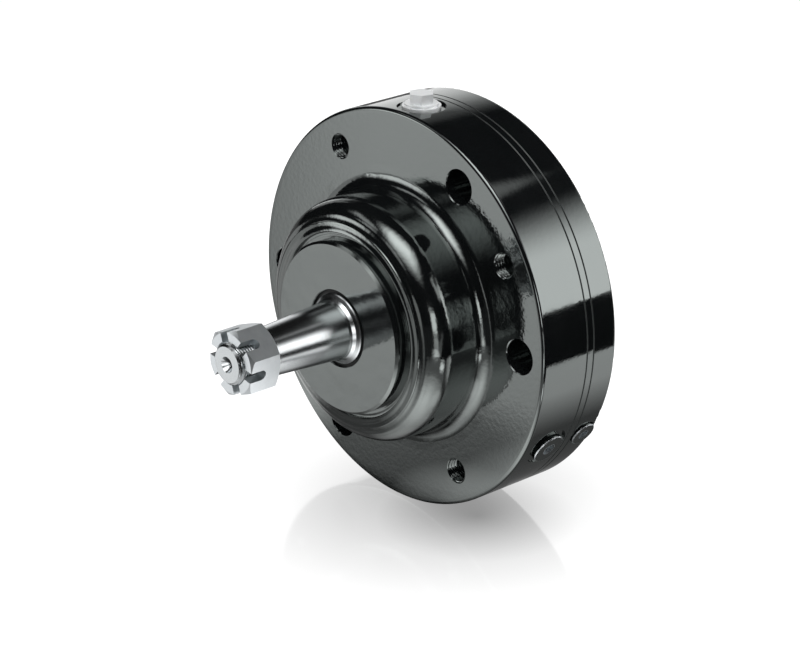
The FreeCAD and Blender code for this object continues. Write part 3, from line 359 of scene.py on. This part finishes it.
rubbed = add(tree, "Math", {0: rubbed, 1: patches}, operation="MULTIPLY")
surface = next(node for node in tree.nodes if node.type == "BSDF_PRINCIPLED")
for name, kind, steel in (
    ("Base Color", "RGBA", linear("#d5d9dc")),
    ("Metallic", "FLOAT", 1.0),
    ("Roughness", "FLOAT", 0.34),
):
    entry = surface.inputs[name]
    painted = entry.links[0].from_socket if entry.is_linked else entry.default_value
    blend = add(tree, "Mix", {"Factor": rubbed, "A": painted, "B": steel}, data_type=kind)
    tree.links.new(blend.outputs["Result"], entry)
coat(rubbed_enamel, "drain_plug", "release_plug")

# Shaft seal and the four sealing rings
# Moulded nitrile rubber: a lip seal pressed into the carrier, and rings laid in turned grooves
# before the stack was closed.
rubber = new_material("nitrile_rubber")
tree = rubber.node_tree
place = add(tree, "TexCoord").outputs["Object"]
# Matt black with a fine moulded grain of 0.4 mm, a little greyer where talc has stayed
MOULD_GRAIN = 0.0004
MOULD_HEIGHT = 0.00002
TALC_PATCH = 0.007
grain = add(tree, "TexNoise", {"Vector": place, "Scale": 1 / MOULD_GRAIN, "Detail": 2.0})
talc = add(tree, "TexNoise", {"Vector": place, "Scale": 1 / TALC_PATCH, "Detail": 3.0})
skin = add(tree, "Bump", {"Strength": 0.5, "Distance": MOULD_HEIGHT, "Height": grain})
colour = add(
    tree,
    "Mix",
    {"Factor": talc, "A": linear("#0f0f10"), "B": linear("#1d1d1c")},
    data_type="RGBA",
)
dry = add(tree, "MapRange", {"Value": talc, "To Min": 0.5, "To Max": 0.72})
surface = add(tree, "BsdfPrincipled", {"Base Color": colour, "Roughness": dry, "Normal": skin})
add(tree, "OutputMaterial", {"Surface": surface})
coat(rubber, "shaft_seal", "housing_seal", "cover_seal", "sleeve_seal", "piston_seal")

# Output shaft
# Turned from case-hardened bar and ground on the taper, the journal and the flare; the end has a
# rolled thread for the nut and a centre drill.
ground = new_material("ground_steel")
tree = ground.node_tree
place = add(tree, "TexCoord").outputs["Object"]
# Bright steel whose grinding lay runs round the axis, in lines drawn 0.11 mm apart so that they
# show, and 25 mm long; faint stains are 11 mm across
GRIND_PITCH = 0.000111
GRIND_HEIGHT = 0.0000003
LINE_LENGTH = 0.025
SHAFT_STAIN = 0.0111
lay_place = {0: place, 1: (1 / LINE_LENGTH, 1 / GRIND_PITCH, 1 / LINE_LENGTH)}
stretch = add(tree, "VectorMath", lay_place, operation="MULTIPLY")
lay = add(tree, "TexNoise", {"Vector": stretch, "Scale": 1.0, "Detail": 3.0})
stain = add(tree, "TexNoise", {"Vector": place, "Scale": 1 / SHAFT_STAIN, "Detail": 3.0})
scratches = add(tree, "Bump", {"Distance": GRIND_HEIGHT, "Height": lay})
colour = add(
    tree,
    "Mix",
    {"Factor": stain, "A": linear("#b6babc"), "B": linear("#cfd2d3")},
    data_type="RGBA",
)
surface = add(
    tree,
    "BsdfPrincipled",
    {
        "Base Color": colour,
        "Metallic": 1.0,
        "Roughness": add(tree, "MapRange", {"Value": lay, "To Min": 0.18, "To Max": 0.27}),
        "Normal": scratches,
    },
)
add(tree, "OutputMaterial", {"Surface": surface})
coat(ground, "output_shaft")

# Thread on the shaft's end
# Rolled fine thread of 1.5 mm pitch, chamfered at the tip; the nut hides its inner turns. It
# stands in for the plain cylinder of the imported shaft, whose other faces are kept as they are.
STUD_START = -0.0873
STUD_END = -0.1069
FINE_PITCH = 0.0015
FINE_ROOT = 0.0091
FINE_CREST = 0.01
STUD_TIP = 0.0088
INNER_LIMIT = 0.0085
FLAT_END = 0.99


def stud_radius(y, turn):
    if y == STUD_START:
        return FINE_CREST
    full = FINE_ROOT + (FINE_CREST - FINE_ROOT) * thread_rise(y, turn, FINE_PITCH)
    return min(full, STUD_TIP + y - STUD_END)


def is_plain_stud(face):
    """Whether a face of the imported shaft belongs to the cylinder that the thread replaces."""
    middle = face.calc_center_median()
    far_out = math.hypot(middle.x, middle.z) > INNER_LIMIT
    return middle.y < STUD_START and far_out and abs(face.normal.y) < FLAT_END


shaft = new_object("threaded_shaft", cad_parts["output_shaft"].data.copy())
cut = bmesh.new()
cut.from_mesh(shaft.data)
bmesh.ops.delete(cut, geom=[face for face in cut.faces if is_plain_stud(face)], context="FACES")
cut.to_mesh(shaft.data)
cut.free()
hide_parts("output_shaft")
stud = turned_surface(
    "stud_thread", (0.0, 0.0), STUD_START, STUD_END, stud_radius, around=96, along=130
)
stud.data.materials.append(ground)
for piece in (shaft, stud):
    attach(piece, "shaft")

# Castle nut
# Cold-formed from steel, slotted, and zinc plated before it was screwed on: it was fitted after
# the dip, so it stays bright.
zinc = new_material("bright_zinc_plate")
tree = zinc.node_tree
place = add(tree, "TexCoord").outputs["Object"]
# White-silver and a little hazy, with a fine crystal grain and slow cloudy patches
ZINC_GRAIN = 0.0006
ZINC_HEIGHT = 0.000004
ZINC_CLOUD = 0.005
grain = add(tree, "TexNoise", {"Vector": place, "Scale": 1 / ZINC_GRAIN, "Detail": 3.0})
bloom = add(tree, "TexNoise", {"Vector": place, "Scale": 1 / ZINC_CLOUD, "Detail": 3.0})
tooth = add(tree, "Bump", {"Strength": 0.5, "Distance": ZINC_HEIGHT, "Height": grain})
colour = add(
    tree,
    "Mix",
    {"Factor": bloom, "A": linear("#cbd0d3"), "B": linear("#e4e8ea")},
    data_type="RGBA",
)
surface = add(
    tree,
    "BsdfPrincipled",
    {
        "Base Color": colour,
        "Metallic": 1.0,
        "Roughness": add(tree, "MapRange", {"Value": bloom, "To Min": 0.3, "To Max": 0.42}),
        "Normal": tooth,
    },
)
add(tree, "OutputMaterial", {"Surface": surface})
coat(zinc, "castle_nut")

# Fill plug and its washer
# Steel plug with a hexagon head on a flat washer, barrel plated with zinc and screwed in after
# the dip.
barrel_zinc = zinc.copy()
barrel_zinc.name = "barrel_zinc_plate"
# Whiter than the nut's plate and less like a mirror, from rubbing against others in the barrel
surface = next(node for node in barrel_zinc.node_tree.nodes if node.type == "BSDF_PRINCIPLED")
surface.inputs["Metallic"].default_value = 0.45
colour = surface.inputs["Base Color"].links[0].from_node
colour.inputs["A"].default_value = linear("#eceff1")
colour.inputs["B"].default_value = linear("#fafbfb")
coat(barrel_zinc, "fill_plug", "fill_plug_washer")

# Bearing cups, cones and rollers
# Through-hardened bearing steel, ground and then honed on the races, with rounded roller ends;
# the cups are pressed into the castings and the cones onto the shaft.
bearing = new_material("honed_bearing_steel")
tree = bearing.node_tree
place = add(tree, "TexCoord").outputs["Object"]
# Very bright and even, with a hair-fine lay round the axis and a thin film of oil in patches
HONE_PITCH = 0.00007
HONE_HEIGHT = 0.0000002
OIL_PATCH = 0.005
lay_place = {0: place, 1: (1 / LINE_LENGTH, 1 / HONE_PITCH, 1 / LINE_LENGTH)}
stretch = add(tree, "VectorMath", lay_place, operation="MULTIPLY")
lay = add(tree, "TexNoise", {"Vector": stretch, "Scale": 1.0, "Detail": 2.0})
oil = add(tree, "TexNoise", {"Vector": place, "Scale": 1 / OIL_PATCH, "Detail": 2.0})
lines = add(tree, "Bump", {"Distance": HONE_HEIGHT, "Height": lay})
colour = add(
    tree,
    "Mix",
    {"Factor": oil, "A": linear("#aeb3b8"), "B": linear("#c9cdd0")},
    data_type="RGBA",
)
wet = add(
    tree,
    "MapRange",
    {"Value": oil, "From Min": 0.4, "From Max": 0.7, "To Min": 0.0, "To Max": 0.3},
)
surface = add(
    tree,
    "BsdfPrincipled",
    {
        "Base Color": colour,
        "Metallic": 1.0,
        "Roughness": add(tree, "MapRange", {"Value": lay, "To Min": 0.08, "To Max": 0.15}),
        "Coat Weight": wet,
        "Normal": lines,
    },
)
add(tree, "OutputMaterial", {"Surface": surface})
coat(bearing, "front_bearing_cup", "front_bearing_cone", "front_rollers")
coat(bearing, "rear_bearing_cup", "rear_bearing_cone", "rear_rollers")

# Bearing cages
# Pressed from steel strip, pierced for the rollers and phosphated, one round each row of them.
# They carry the rollers round the cone at an even distance.
cage = new_material("phosphated_strip")
tree = cage.node_tree
place = add(tree, "TexCoord").outputs["Object"]
# Dull grey with a speckle of phosphate crystals, drawn half a millimetre across so that it shows
CRYSTAL = 0.0005
CRYSTAL_HEIGHT = 0.000008
crystals = add(tree, "TexVoronoi", {"Vector": place, "Scale": 1 / CRYSTAL})
relief = add(tree, "Bump", {"Strength": 0.6, "Distance": CRYSTAL_HEIGHT, "Height": crystals})
colour = add(
    tree,
    "Mix",
    {"Factor": crystals, "A": linear("#5c5f61"), "B": linear("#84888a")},
    data_type="RGBA",
)
surface = add(
    tree,
    "BsdfPrincipled",
    {
        "Base Color": colour,
        "Metallic": 1.0,
        "Roughness": add(tree, "MapRange", {"Value": crystals, "To Min": 0.34, "To Max": 0.5}),
        "Normal": relief,
    },
)
add(tree, "OutputMaterial", {"Surface": surface})
coat(cage, "front_bearing_cage", "rear_bearing_cage")

# Keys, disc hub, retaining ring and torque pins
# Machined from bright bar: the hub is turned and slotted, the pins are cut from silver steel and
# pushed into half-open holes of the housing.
machined = new_material("machined_steel")
tree = machined.node_tree
place = add(tree, "TexCoord").outputs["Object"]
# Mid grey with cutter marks 0.25 mm apart along the axis, darker where oil has dried
CUTTER_PITCH = 0.00025
CUTTER_HEIGHT = 0.000001
OIL_STAIN = 0.008
lay_place = {0: place, 1: (1 / LINE_LENGTH, 1 / CUTTER_PITCH, 1 / LINE_LENGTH)}
stretch = add(tree, "VectorMath", lay_place, operation="MULTIPLY")
marks = add(tree, "TexNoise", {"Vector": stretch, "Scale": 1.0, "Detail": 2.0})
stain = add(tree, "TexNoise", {"Vector": place, "Scale": 1 / OIL_STAIN, "Detail": 4.0})
ridges = add(tree, "Bump", {"Distance": CUTTER_HEIGHT, "Height": marks})
colour = add(
    tree,
    "Mix",
    {"Factor": stain, "A": linear("#7f8284"), "B": linear("#a9acae")},
    data_type="RGBA",
)
surface = add(
    tree,
    "BsdfPrincipled",
    {
        "Base Color": colour,
        "Metallic": 1.0,
        "Roughness": add(tree, "MapRange", {"Value": marks, "To Min": 0.22, "To Max": 0.36}),
        "Normal": ridges,
    },
)
add(tree, "OutputMaterial", {"Surface": surface})
coat(machined, "woodruff_key", "hub_key", "disc_hub", "hub_retaining_ring", "torque_pins")

# Friction discs
# A splined steel core with a sintered bronze facing bonded to both sides of its outer ring. The
# two slide on the hub and turn with it.
FACING_INNER = 0.044
facing = new_material("sintered_bronze_on_steel")
tree = facing.node_tree
place = add(tree, "TexCoord").outputs["Object"]
# Brown, open-grained sinter with grains of 0.6 mm outside; bright rolled steel inside
SINTER_GRAIN = 0.0006
SINTER_HEIGHT = 0.00006
ROLLED_PATCH = 0.014
grains = add(tree, "TexVoronoi", {"Vector": place, "Scale": 1 / SINTER_GRAIN})
shade = add(tree, "TexNoise", {"Vector": place, "Scale": 1 / ROLLED_PATCH, "Detail": 4.0})
out = radius_of(tree, place)
sintered = add(tree, "Math", {0: out, 1: FACING_INNER}, operation="GREATER_THAN")
pores = add(tree, "Math", {0: grains, 1: sintered}, operation="MULTIPLY")
relief = add(tree, "Bump", {"Strength": 0.9, "Distance": SINTER_HEIGHT, "Height": pores})
rolled = add(
    tree,
    "Mix",
    {"Factor": shade, "A": linear("#8c9092"), "B": linear("#a6a9ab")},
    data_type="RGBA",
)
bronze = add(
    tree,
    "Mix",
    {"Factor": grains, "A": linear("#7a5a37"), "B": linear("#4a3524")},
    data_type="RGBA",
)
surface = add(
    tree,
    "BsdfPrincipled",
    {
        "Base Color": add(
            tree, "Mix", {"Factor": sintered, "A": rolled, "B": bronze}, data_type="RGBA"
        ),
        "Metallic": add(tree, "MapRange", {"Value": sintered, "To Min": 1.0, "To Max": 0.35}),
        "Roughness": add(tree, "MapRange", {"Value": sintered, "To Min": 0.3, "To Max": 0.68}),
        "Normal": relief,
    },
)
add(tree, "OutputMaterial", {"Surface": surface})
coat(facing, "friction_disc_1", "friction_disc_2")

# Separator plate and pressure plate
# Stamped from hardened strip and ground flat, with notches that slide on the torque pins, so that
# they can't turn.
plate = new_material("ground_plate_steel")
tree = plate.node_tree
place = add(tree, "TexCoord").outputs["Object"]
# Grey steel with rub marks that run in rings, 1 mm apart, where the facings bear on it
RUB_PITCH = 0.001
RUB_HEIGHT = 0.000002
BURNISHED_PATCH = 0.02
out = radius_of(tree, place)
rings = add(
    tree, "TexNoise", {"W": out, "Scale": 1 / RUB_PITCH, "Detail": 2.0}, noise_dimensions="1D"
)
burnish = add(tree, "TexNoise", {"Vector": place, "Scale": 1 / BURNISHED_PATCH, "Detail": 3.0})
grooves = add(tree, "Bump", {"Distance": RUB_HEIGHT, "Height": rings})
colour = add(
    tree,
    "Mix",
    {"Factor": burnish, "A": linear("#74787b"), "B": linear("#94989b")},
    data_type="RGBA",
)
surface = add(
    tree,
    "BsdfPrincipled",
    {
        "Base Color": colour,
        "Metallic": 1.0,
        "Roughness": add(tree, "MapRange", {"Value": rings, "To Min": 0.26, "To Max": 0.42}),
        "Normal": grooves,
    },
)
add(tree, "OutputMaterial", {"Surface": surface})
coat(plate, "separator_plate", "pressure_plate")

# Piston
# Turned all over from fine-grained grey iron, with its sleeve and seal groove. Oil pushes it to
# the rear, away from the plates.
iron = new_material("turned_grey_iron")
tree = iron.node_tree
place = add(tree, "TexCoord").outputs["Object"]
# Darker than steel, with pinholes of graphite and turning marks 0.5 mm apart
TURNED_PITCH = 0.0005
TURNED_HEIGHT = 0.000002
GRAPHITE = 0.0012
lay_place = {0: place, 1: (1 / LINE_LENGTH, 1 / TURNED_PITCH, 1 / LINE_LENGTH)}
stretch = add(tree, "VectorMath", lay_place, operation="MULTIPLY")
marks = add(tree, "TexNoise", {"Vector": stretch, "Scale": 1.0, "Detail": 2.0})
flakes = add(tree, "TexNoise", {"Vector": place, "Scale": 1 / GRAPHITE, "Detail": 5.0})
ridges = add(tree, "Bump", {"Distance": TURNED_HEIGHT, "Height": marks})
colour = add(
    tree,
    "Mix",
    {"Factor": flakes, "A": linear("#47494a"), "B": linear("#747677")},
    data_type="RGBA",
)
surface = add(
    tree,
    "BsdfPrincipled",
    {
        "Base Color": colour,
        "Metallic": 1.0,
        "Roughness": add(tree, "MapRange", {"Value": flakes, "To Min": 0.32, "To Max": 0.5}),
        "Normal": ridges,
    },
)
add(tree, "OutputMaterial", {"Surface": surface})
coat(iron, "piston")

# Disc springs
# Coned rings of spring steel, stamped, hardened and blued in the tempering oven. The two stand as
# a stack between the piston's floor and the cover, and press the piston forward.
spring = new_material("blued_spring_steel")
tree = spring.node_tree
place = add(tree, "TexCoord").outputs["Object"]
# Dark blue-grey that shifts to straw brown in soft patches, with a faint scale of 0.8 mm
SCALE_SIZE = 0.0008
SCALE_HEIGHT = 0.000008
TEMPER_PATCH = 0.028
temper = add(tree, "TexNoise", {"Vector": place, "Scale": 1 / TEMPER_PATCH, "Detail": 2.0})
scale = add(tree, "TexNoise", {"Vector": place, "Scale": 1 / SCALE_SIZE, "Detail": 3.0})
relief = add(tree, "Bump", {"Strength": 0.5, "Distance": SCALE_HEIGHT, "Height": scale})
colour = add(
    tree,
    "Mix",
    {"Factor": temper, "A": linear("#2b3446"), "B": linear("#5a5350")},
    data_type="RGBA",
)
surface = add(
    tree,
    "BsdfPrincipled",
    {
        "Base Color": colour,
        "Metallic": 1.0,
        "Roughness": add(tree, "MapRange", {"Value": scale, "To Min": 0.26, "To Max": 0.42}),
        "Normal": relief,
    },
)
add(tree, "OutputMaterial", {"Surface": surface})
coat(spring, "disc_spring_1", "disc_spring_2")
# Copies, each with a mesh of its own, stand for the imported springs, which are stiff
for packed in ("disc_spring_1", "disc_spring_2"):
    coned = new_object("flattening_" + packed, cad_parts[packed].data.copy())
    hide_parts(packed)
    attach(coned, "root")
    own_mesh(coned)

# Table
# A sheet of opal acrylic that the brake stands on, glowing as if lit from below, and glossy enough
# to mirror its foot softly. It shows white round the brake, as in a catalogue picture; the shadows
# and pools of light in its glow are painted.
FLOOR_LEVEL = -0.1
TABLE_HALF = 4.0
acrylic = new_material("opal_acrylic")
tree = acrylic.node_tree
place = add(tree, "TexCoord").outputs["Object"]
flat = add(tree, "VectorMath", {0: place, 1: (1.0, 1.0, 0.0)}, operation="MULTIPLY")
across = add(tree, "SeparateXYZ", {"Vector": place})
# To the eye the sheet's glow holds a painted shadow: a little less glow around the foot, where its
# mirror image shows, and least below the rim's right side
FOOT_PLACE = (0.01, 0.024, 0.0)
FOOT_REACH = 0.02
WHITE_REACH = 0.12
FOOT_PAINTED_SHADOW_LEVEL = 0.5
RIM_SHADE_PLACE = (0.045, 0.012, 0.0)
RIM_SHADE_REACH = 0.05
RIM_SHADE = 0.3
off_foot = add(tree, "VectorMath", {0: flat, 1: FOOT_PLACE}, operation="DISTANCE")
glow_with_painted_foot_shadow = add(
    tree,
    "MapRange",
    {"Value": off_foot, "From Min": FOOT_REACH, "From Max": WHITE_REACH, "To Min": FOOT_PAINTED_SHADOW_LEVEL},
)
off_rim = add(tree, "VectorMath", {0: flat, 1: RIM_SHADE_PLACE}, operation="DISTANCE")
rim_painted_shadow = add(
    tree,
    "MapRange",
    {"Value": off_rim, "From Max": RIM_SHADE_REACH, "To Min": RIM_SHADE, "To Max": 0.0},
)
seen_glow_with_painted_shadow = add(tree, "Math", {0: glow_with_painted_foot_shadow, 1: rim_painted_shadow}, operation="SUBTRACT")
# In the enamel's gloss the sheet shows painted light and shade: bright in front of the flange at
# the left, dimmer at the right and dark far out, with a painted shade of the nose on the part below
# it
RIGHT_SIDE = (-0.01, 0.05)
LEFT_LEVEL = 0.7
FAR_OUT = (-0.23, -0.17)
FAR_LEVEL = 0.02
NEAR_LEVEL = 0.35
NOSE_SHADE_PLACE = (-0.04, -0.035, 0.0)
NOSE_SHADE_REACH = (0.055, 0.09)
NOSE_SHADE = 0.2
to_right = add(
    tree,
    "MapRange",
    {"Value": across.outputs["X"], "From Min": RIGHT_SIDE[0], "From Max": RIGHT_SIDE[1]},
)
right_level = add(
    tree,
    "MapRange",
    {
        "Value": across.outputs["Y"],
        "From Min": FAR_OUT[0],
        "From Max": FAR_OUT[1],
        "To Min": FAR_LEVEL,
        "To Max": NEAR_LEVEL,
    },
)
at_left = add(tree, "MapRange", {"Value": to_right, "To Min": LEFT_LEVEL, "To Max": 0.0})
right_part = add(tree, "Math", {0: to_right, 1: right_level}, operation="MULTIPLY")
front = add(tree, "Math", {0: at_left, 1: right_part}, operation="ADD")
off_nose = add(tree, "VectorMath", {0: flat, 1: NOSE_SHADE_PLACE}, operation="DISTANCE")
nose_shade = add(
    tree,
    "MapRange",
    {
        "Value": off_nose,
        "From Min": NOSE_SHADE_REACH[0],
        "From Max": NOSE_SHADE_REACH[1],
        "To Min": NOSE_SHADE,
    },
)
front = add(tree, "Math", {0: front, 1: nose_shade}, operation="MULTIPLY")
# Under and behind the brake it has a painted shade, and painted light again out at the right,
# where the key light falls past the rim
FRONT_EDGE = (-0.014, -0.006)
PAST_RIM = (0.105, 0.165)
REAR_SHADE = 0.13
REAR_LEVEL = 0.85
FOOT_EDGE = (0.005, 0.03)
FOOT_SHADE = 0.1
in_front = add(
    tree,
    "MapRange",
    {
        "Value": across.outputs["Y"],
        "From Min": FRONT_EDGE[0],
        "From Max": FRONT_EDGE[1],
        "To Min": 1.0,
        "To Max": 0.0,
    },
)
behind = add(tree, "MapRange", {"Value": in_front, "To Min": 1.0, "To Max": 0.0})
past_rim = add(
    tree,
    "MapRange",
    {
        "Value": across.outputs["X"],
        "From Min": PAST_RIM[0],
        "From Max": PAST_RIM[1],
        "To Min": REAR_SHADE,
        "To Max": REAR_LEVEL,
    },
)
past_foot = add(
    tree,
    "MapRange",
    {
        "Value": across.outputs["Y"],
        "From Min": FOOT_EDGE[0],
        "From Max": FOOT_EDGE[1],
        "To Min": FOOT_SHADE,
    },
)
rear = add(tree, "Math", {0: past_rim, 1: past_foot}, operation="MULTIPLY")
front = add(tree, "Math", {0: front, 1: in_front}, operation="MULTIPLY")
rear = add(tree, "Math", {0: rear, 1: behind}, operation="MULTIPLY")
painted_gloss_light = add(tree, "Math", {0: front, 1: rear}, operation="ADD")


def painted_pool(x, y, inner, outer, level):
    """A round painted pool of light on the sheet, full up to inner and gone at outer."""
    away = add(tree, "VectorMath", {0: flat, 1: (x, y, 0.0)}, operation="DISTANCE")
    limits = {"Value": away, "From Min": inner, "From Max": outer, "To Min": level, "To Max": 0.0}
    return add(tree, "MapRange", limits)


# Four painted pools of light at the right, one at the left and one at the foot give the nose, the
# flange and the rim the soft lights that they mirror from the table
for light in (
    painted_pool(x=0.08, y=-0.075, inner=0.01, outer=0.09, level=1.9),
    painted_pool(x=0.29, y=-0.18, inner=0.03, outer=0.09, level=1.8),
    painted_pool(x=0.1, y=-0.02, inner=0.012, outer=0.03, level=0.6),
    painted_pool(x=0.21, y=-0.04, inner=0.015, outer=0.035, level=3.0),
    painted_pool(x=-0.13, y=-0.02, inner=0.02, outer=0.06, level=0.9),
    painted_pool(x=0.01, y=-0.027, inner=0.006, outer=0.03, level=0.55),
):
    painted_gloss_light = add(tree, "Math", {0: painted_gloss_light, 1: light}, operation="ADD")
ray = add(tree, "LightPath")
seen_rays = {0: ray.outputs["Is Camera Ray"], 1: ray.outputs["Is Transmission Ray"]}
is_seen = add(tree, "Math", seen_rays, operation="MAXIMUM")
seen = add(tree, "Math", {0: is_seen, 1: seen_glow_with_painted_shadow}, operation="MULTIPLY")
gloss_rays = {0: ray.outputs["Is Glossy Ray"], 1: painted_gloss_light}
mirrored = add(tree, "Math", gloss_rays, operation="MULTIPLY")
glow = add(tree, "Math", {0: seen, 1: mirrored}, operation="ADD")
surface = add(
    tree,
    "BsdfPrincipled",
    {
        "Base Color": linear("#2c2c2c"),
        "Roughness": 0.1,
        "IOR": 1.8,
        "Emission Color": (1.0, 1.0, 1.0, 1.0),
        "Emission Strength": glow,
    },
)
add(tree, "OutputMaterial", {"Surface": surface})


def sheet(name, corners, finish):
    """A flat piece with four corners."""
    mesh = bpy.data.meshes.new(name)
    mesh.from_pydata(corners, [], [(0, 1, 2, 3)])
    mesh.materials.append(finish)
    return new_object(name, mesh)


# Left and low, right and low, right and high, left and high
CORNER_SIDES = ((-1, -1), (1, -1), (1, 1), (-1, 1))
corners = [(TABLE_HALF * i, TABLE_HALF * j, FLOOR_LEVEL) for i, j in CORNER_SIDES]
sheet("table", corners, acrylic)

# Softboxes
# Lamp boxes closed by white diffuser cloth, standing round the brake or hung over it, each where
# its mirror image shows in the enamel. The camera doesn't see them.


def aim(azimuth, elevation):
    """Direction from the brake: azimuth from the front (0) over the right side (90)."""
    turn, lift = math.radians(azimuth), math.radians(elevation)
    return Vector(
        (math.sin(turn) * math.cos(lift), -math.cos(turn) * math.cos(lift), math.sin(lift))
    )


def softbox(name, azimuth, elevation, distance, width, height, strength, bottom, top, sides):
    """Flat lit cloth that faces the brake, seen in its gloss but not by the camera.

    It grows to full strength over the share bottom of its height, fades from the share top up to
    its top edge, and fades over the share sides at its left and right edges.
    """
    centre = aim(azimuth, elevation) * distance
    side = Vector((math.cos(math.radians(azimuth)), math.sin(math.radians(azimuth)), 0.0))
    up = centre.normalized().cross(side)
    corners = [
        tuple(centre + side * (width / 2 * i) + up * (height / 2 * j)) for i, j in CORNER_SIDES
    ]
    # White cloth that glows evenly but for its soft edges, which give the highlights soft ends
    diffuser = new_material("diffuser_cloth")
    tree = diffuser.node_tree
    spot = add(tree, "TexCoord").outputs["UV"]
    across = add(tree, "SeparateXYZ", {"Vector": spot})
    level = strength
    for axis, edge, full in (
        ("Y", 0.0, bottom),
        ("Y", 1.0, top),
        ("X", 0.0, sides),
        ("X", 1.0, 1.0 - sides),
    ):
        limits = {"Value": across.outputs[axis], "From Min": edge, "From Max": full}
        fade = add(tree, "MapRange", limits, interpolation_type="SMOOTHSTEP")
        level = add(tree, "Math", {0: fade, 1: level}, operation="MULTIPLY")
    light = add(tree, "Emission", {"Strength": level})
    add(tree, "OutputMaterial", {"Surface": light})
    made = sheet(name, corners, diffuser)
    layer = made.data.uv_layers.new(name="UVMap")
    for loop, (i, j) in zip(layer.data, CORNER_SIDES):
        loop.uv = ((i + 1) / 2, (j + 1) / 2)
    made.visible_camera = False


softbox(
    "rear_right_softbox",
    azimuth=137,
    elevation=21,
    distance=1.0,
    width=0.9,
    height=0.75,
    strength=2.8,
    bottom=0.02,
    top=0.5,
    sides=0.02,
)
softbox(
    "rear_left_softbox",
    azimuth=-133,
    elevation=20,
    distance=1.0,
    width=0.95,
    height=0.75,
    strength=1.35,
    bottom=0.05,
    top=0.4,
    sides=0.05,
)
softbox(
    "overhead_softbox",
    azimuth=24,
    elevation=60,
    distance=1.2,
    width=1.4,
    height=1.35,
    strength=4.4,
    bottom=0.55,
    top=0.6,
    sides=0.4,
)
softbox(
    "wing_softbox",
    azimuth=-46,
    elevation=46,
    distance=1.2,
    width=0.8,
    height=0.3,
    strength=1.1,
    bottom=0.4,
    top=0.6,
    sides=0.3,
)
softbox(
    "front_left_softbox",
    azimuth=-44,
    elevation=10,
    distance=1.0,
    width=0.5,
    height=0.5,
    strength=2.8,
    bottom=0.1,
    top=0.55,
    sides=0.35,
)
softbox(
    "front_right_softbox",
    azimuth=60,
    elevation=7,
    distance=1.2,
    width=0.42,
    height=0.46,
    strength=3.2,
    bottom=0.05,
    top=0.6,
    sides=0.2,
)
softbox(
    "right_softbox",
    azimuth=110,
    elevation=32,
    distance=1.2,
    width=0.6,
    height=0.5,
    strength=1.3,
    bottom=0.3,
    top=0.7,
    sides=0.3,
)
softbox(
    "left_softbox",
    azimuth=-106,
    elevation=22,
    distance=1.2,
    width=0.32,
    height=0.8,
    strength=0.6,
    bottom=0.2,
    top=0.7,
    sides=0.3,
)
# A small lit card up behind the brake, at its right, which the nut's upper flats mirror
softbox(
    "nut_card",
    azimuth=145,
    elevation=53.5,
    distance=0.555,
    width=0.18,
    height=0.14,
    strength=0.5,
    bottom=0.2,
    top=0.8,
    sides=0.2,
)

# Dark studio
# Black drapes hung all around, outside the softboxes, keep the rest of the gloss dark. They are
# seen in gloss only, so that the background stays white and the world's light comes through.
DRAPE_RADIUS = 3.0
# Matt black cloth that gives nearly nothing back
drape_cloth = new_material("black_drape")
tree = drape_cloth.node_tree
dark = add(tree, "BsdfDiffuse", {"Color": linear("#0a0a0a")})
add(tree, "OutputMaterial", {"Surface": dark})
bpy.ops.mesh.primitive_uv_sphere_add(segments=64, ring_count=32, radius=DRAPE_RADIUS)
drape = bpy.context.object
drape.name = "drape"
drape.data.materials.append(drape_cloth)
drape.visible_camera = False
drape.visible_diffuse = False
drape.visible_shadow = False
drape.visible_transmission = False

# Black cloth
# A piece of the drape's cloth, laid on the table at the right rear. It is seen in gloss only, and
# draws the dark band below the light one on the rim.
CLOTH_LEFT = 0.245
CLOTH_FRONT = -0.09
CLOTH_FAR = 3.0
CLOTH_LEVEL = FLOOR_LEVEL + 0.0004
corners = [
    (CLOTH_LEFT, CLOTH_FRONT, CLOTH_LEVEL),
    (CLOTH_FAR, CLOTH_FRONT, CLOTH_LEVEL),
    (CLOTH_FAR, CLOTH_FAR, CLOTH_LEVEL),
    (CLOTH_LEFT, CLOTH_FAR, CLOTH_LEVEL),
]
cloth = sheet("black_cloth", corners, drape_cloth)
cloth.visible_camera = False
cloth.visible_diffuse = False
cloth.visible_shadow = False

# World
# The studio's white walls beyond the drapes: full white as background, and a weak even light on
# everything else.
FILL_LEVEL = 0.32
world = bpy.data.worlds.new("studio")
bpy.context.scene.world = world
world.use_nodes = True
tree = world.node_tree
tree.nodes.clear()
ray = add(tree, "LightPath")
seen = ray.outputs["Is Camera Ray"]
for name in ("Is Glossy Ray", "Is Transmission Ray"):
    seen = add(tree, "Math", {0: seen, 1: ray.outputs[name]}, operation="MAXIMUM")
level = add(tree, "MapRange", {"Value": seen, "To Min": FILL_LEVEL})
sky = add(tree, "Background", {"Color": (1.0, 1.0, 1.0, 1.0), "Strength": level})
add(tree, "OutputWorld", {"Surface": sky})

# Camera
# Fitted to the photograph: the brake seen from the front right and from above, through a long
# lens at 1.3 m.
CAMERA_PLACE = Vector((0.8969, -0.8125, 0.4749))
CAMERA_AZIMUTH = 47.785
CAMERA_ELEVATION = 21.806
CAMERA_LENS = 120.08
SENSOR_WIDTH = 36
camera_data = bpy.data.cameras.new("camera")
camera_data.lens = CAMERA_LENS
camera_data.sensor_width = SENSOR_WIDTH
camera = new_object("camera", camera_data)
camera.location = CAMERA_PLACE
camera.rotation_euler = aim(CAMERA_AZIMUTH, CAMERA_ELEVATION).to_track_quat("Z", "Y").to_euler()
bpy.context.scene.camera = camera
bpy.context.scene.view_settings.view_transform = "Standard"
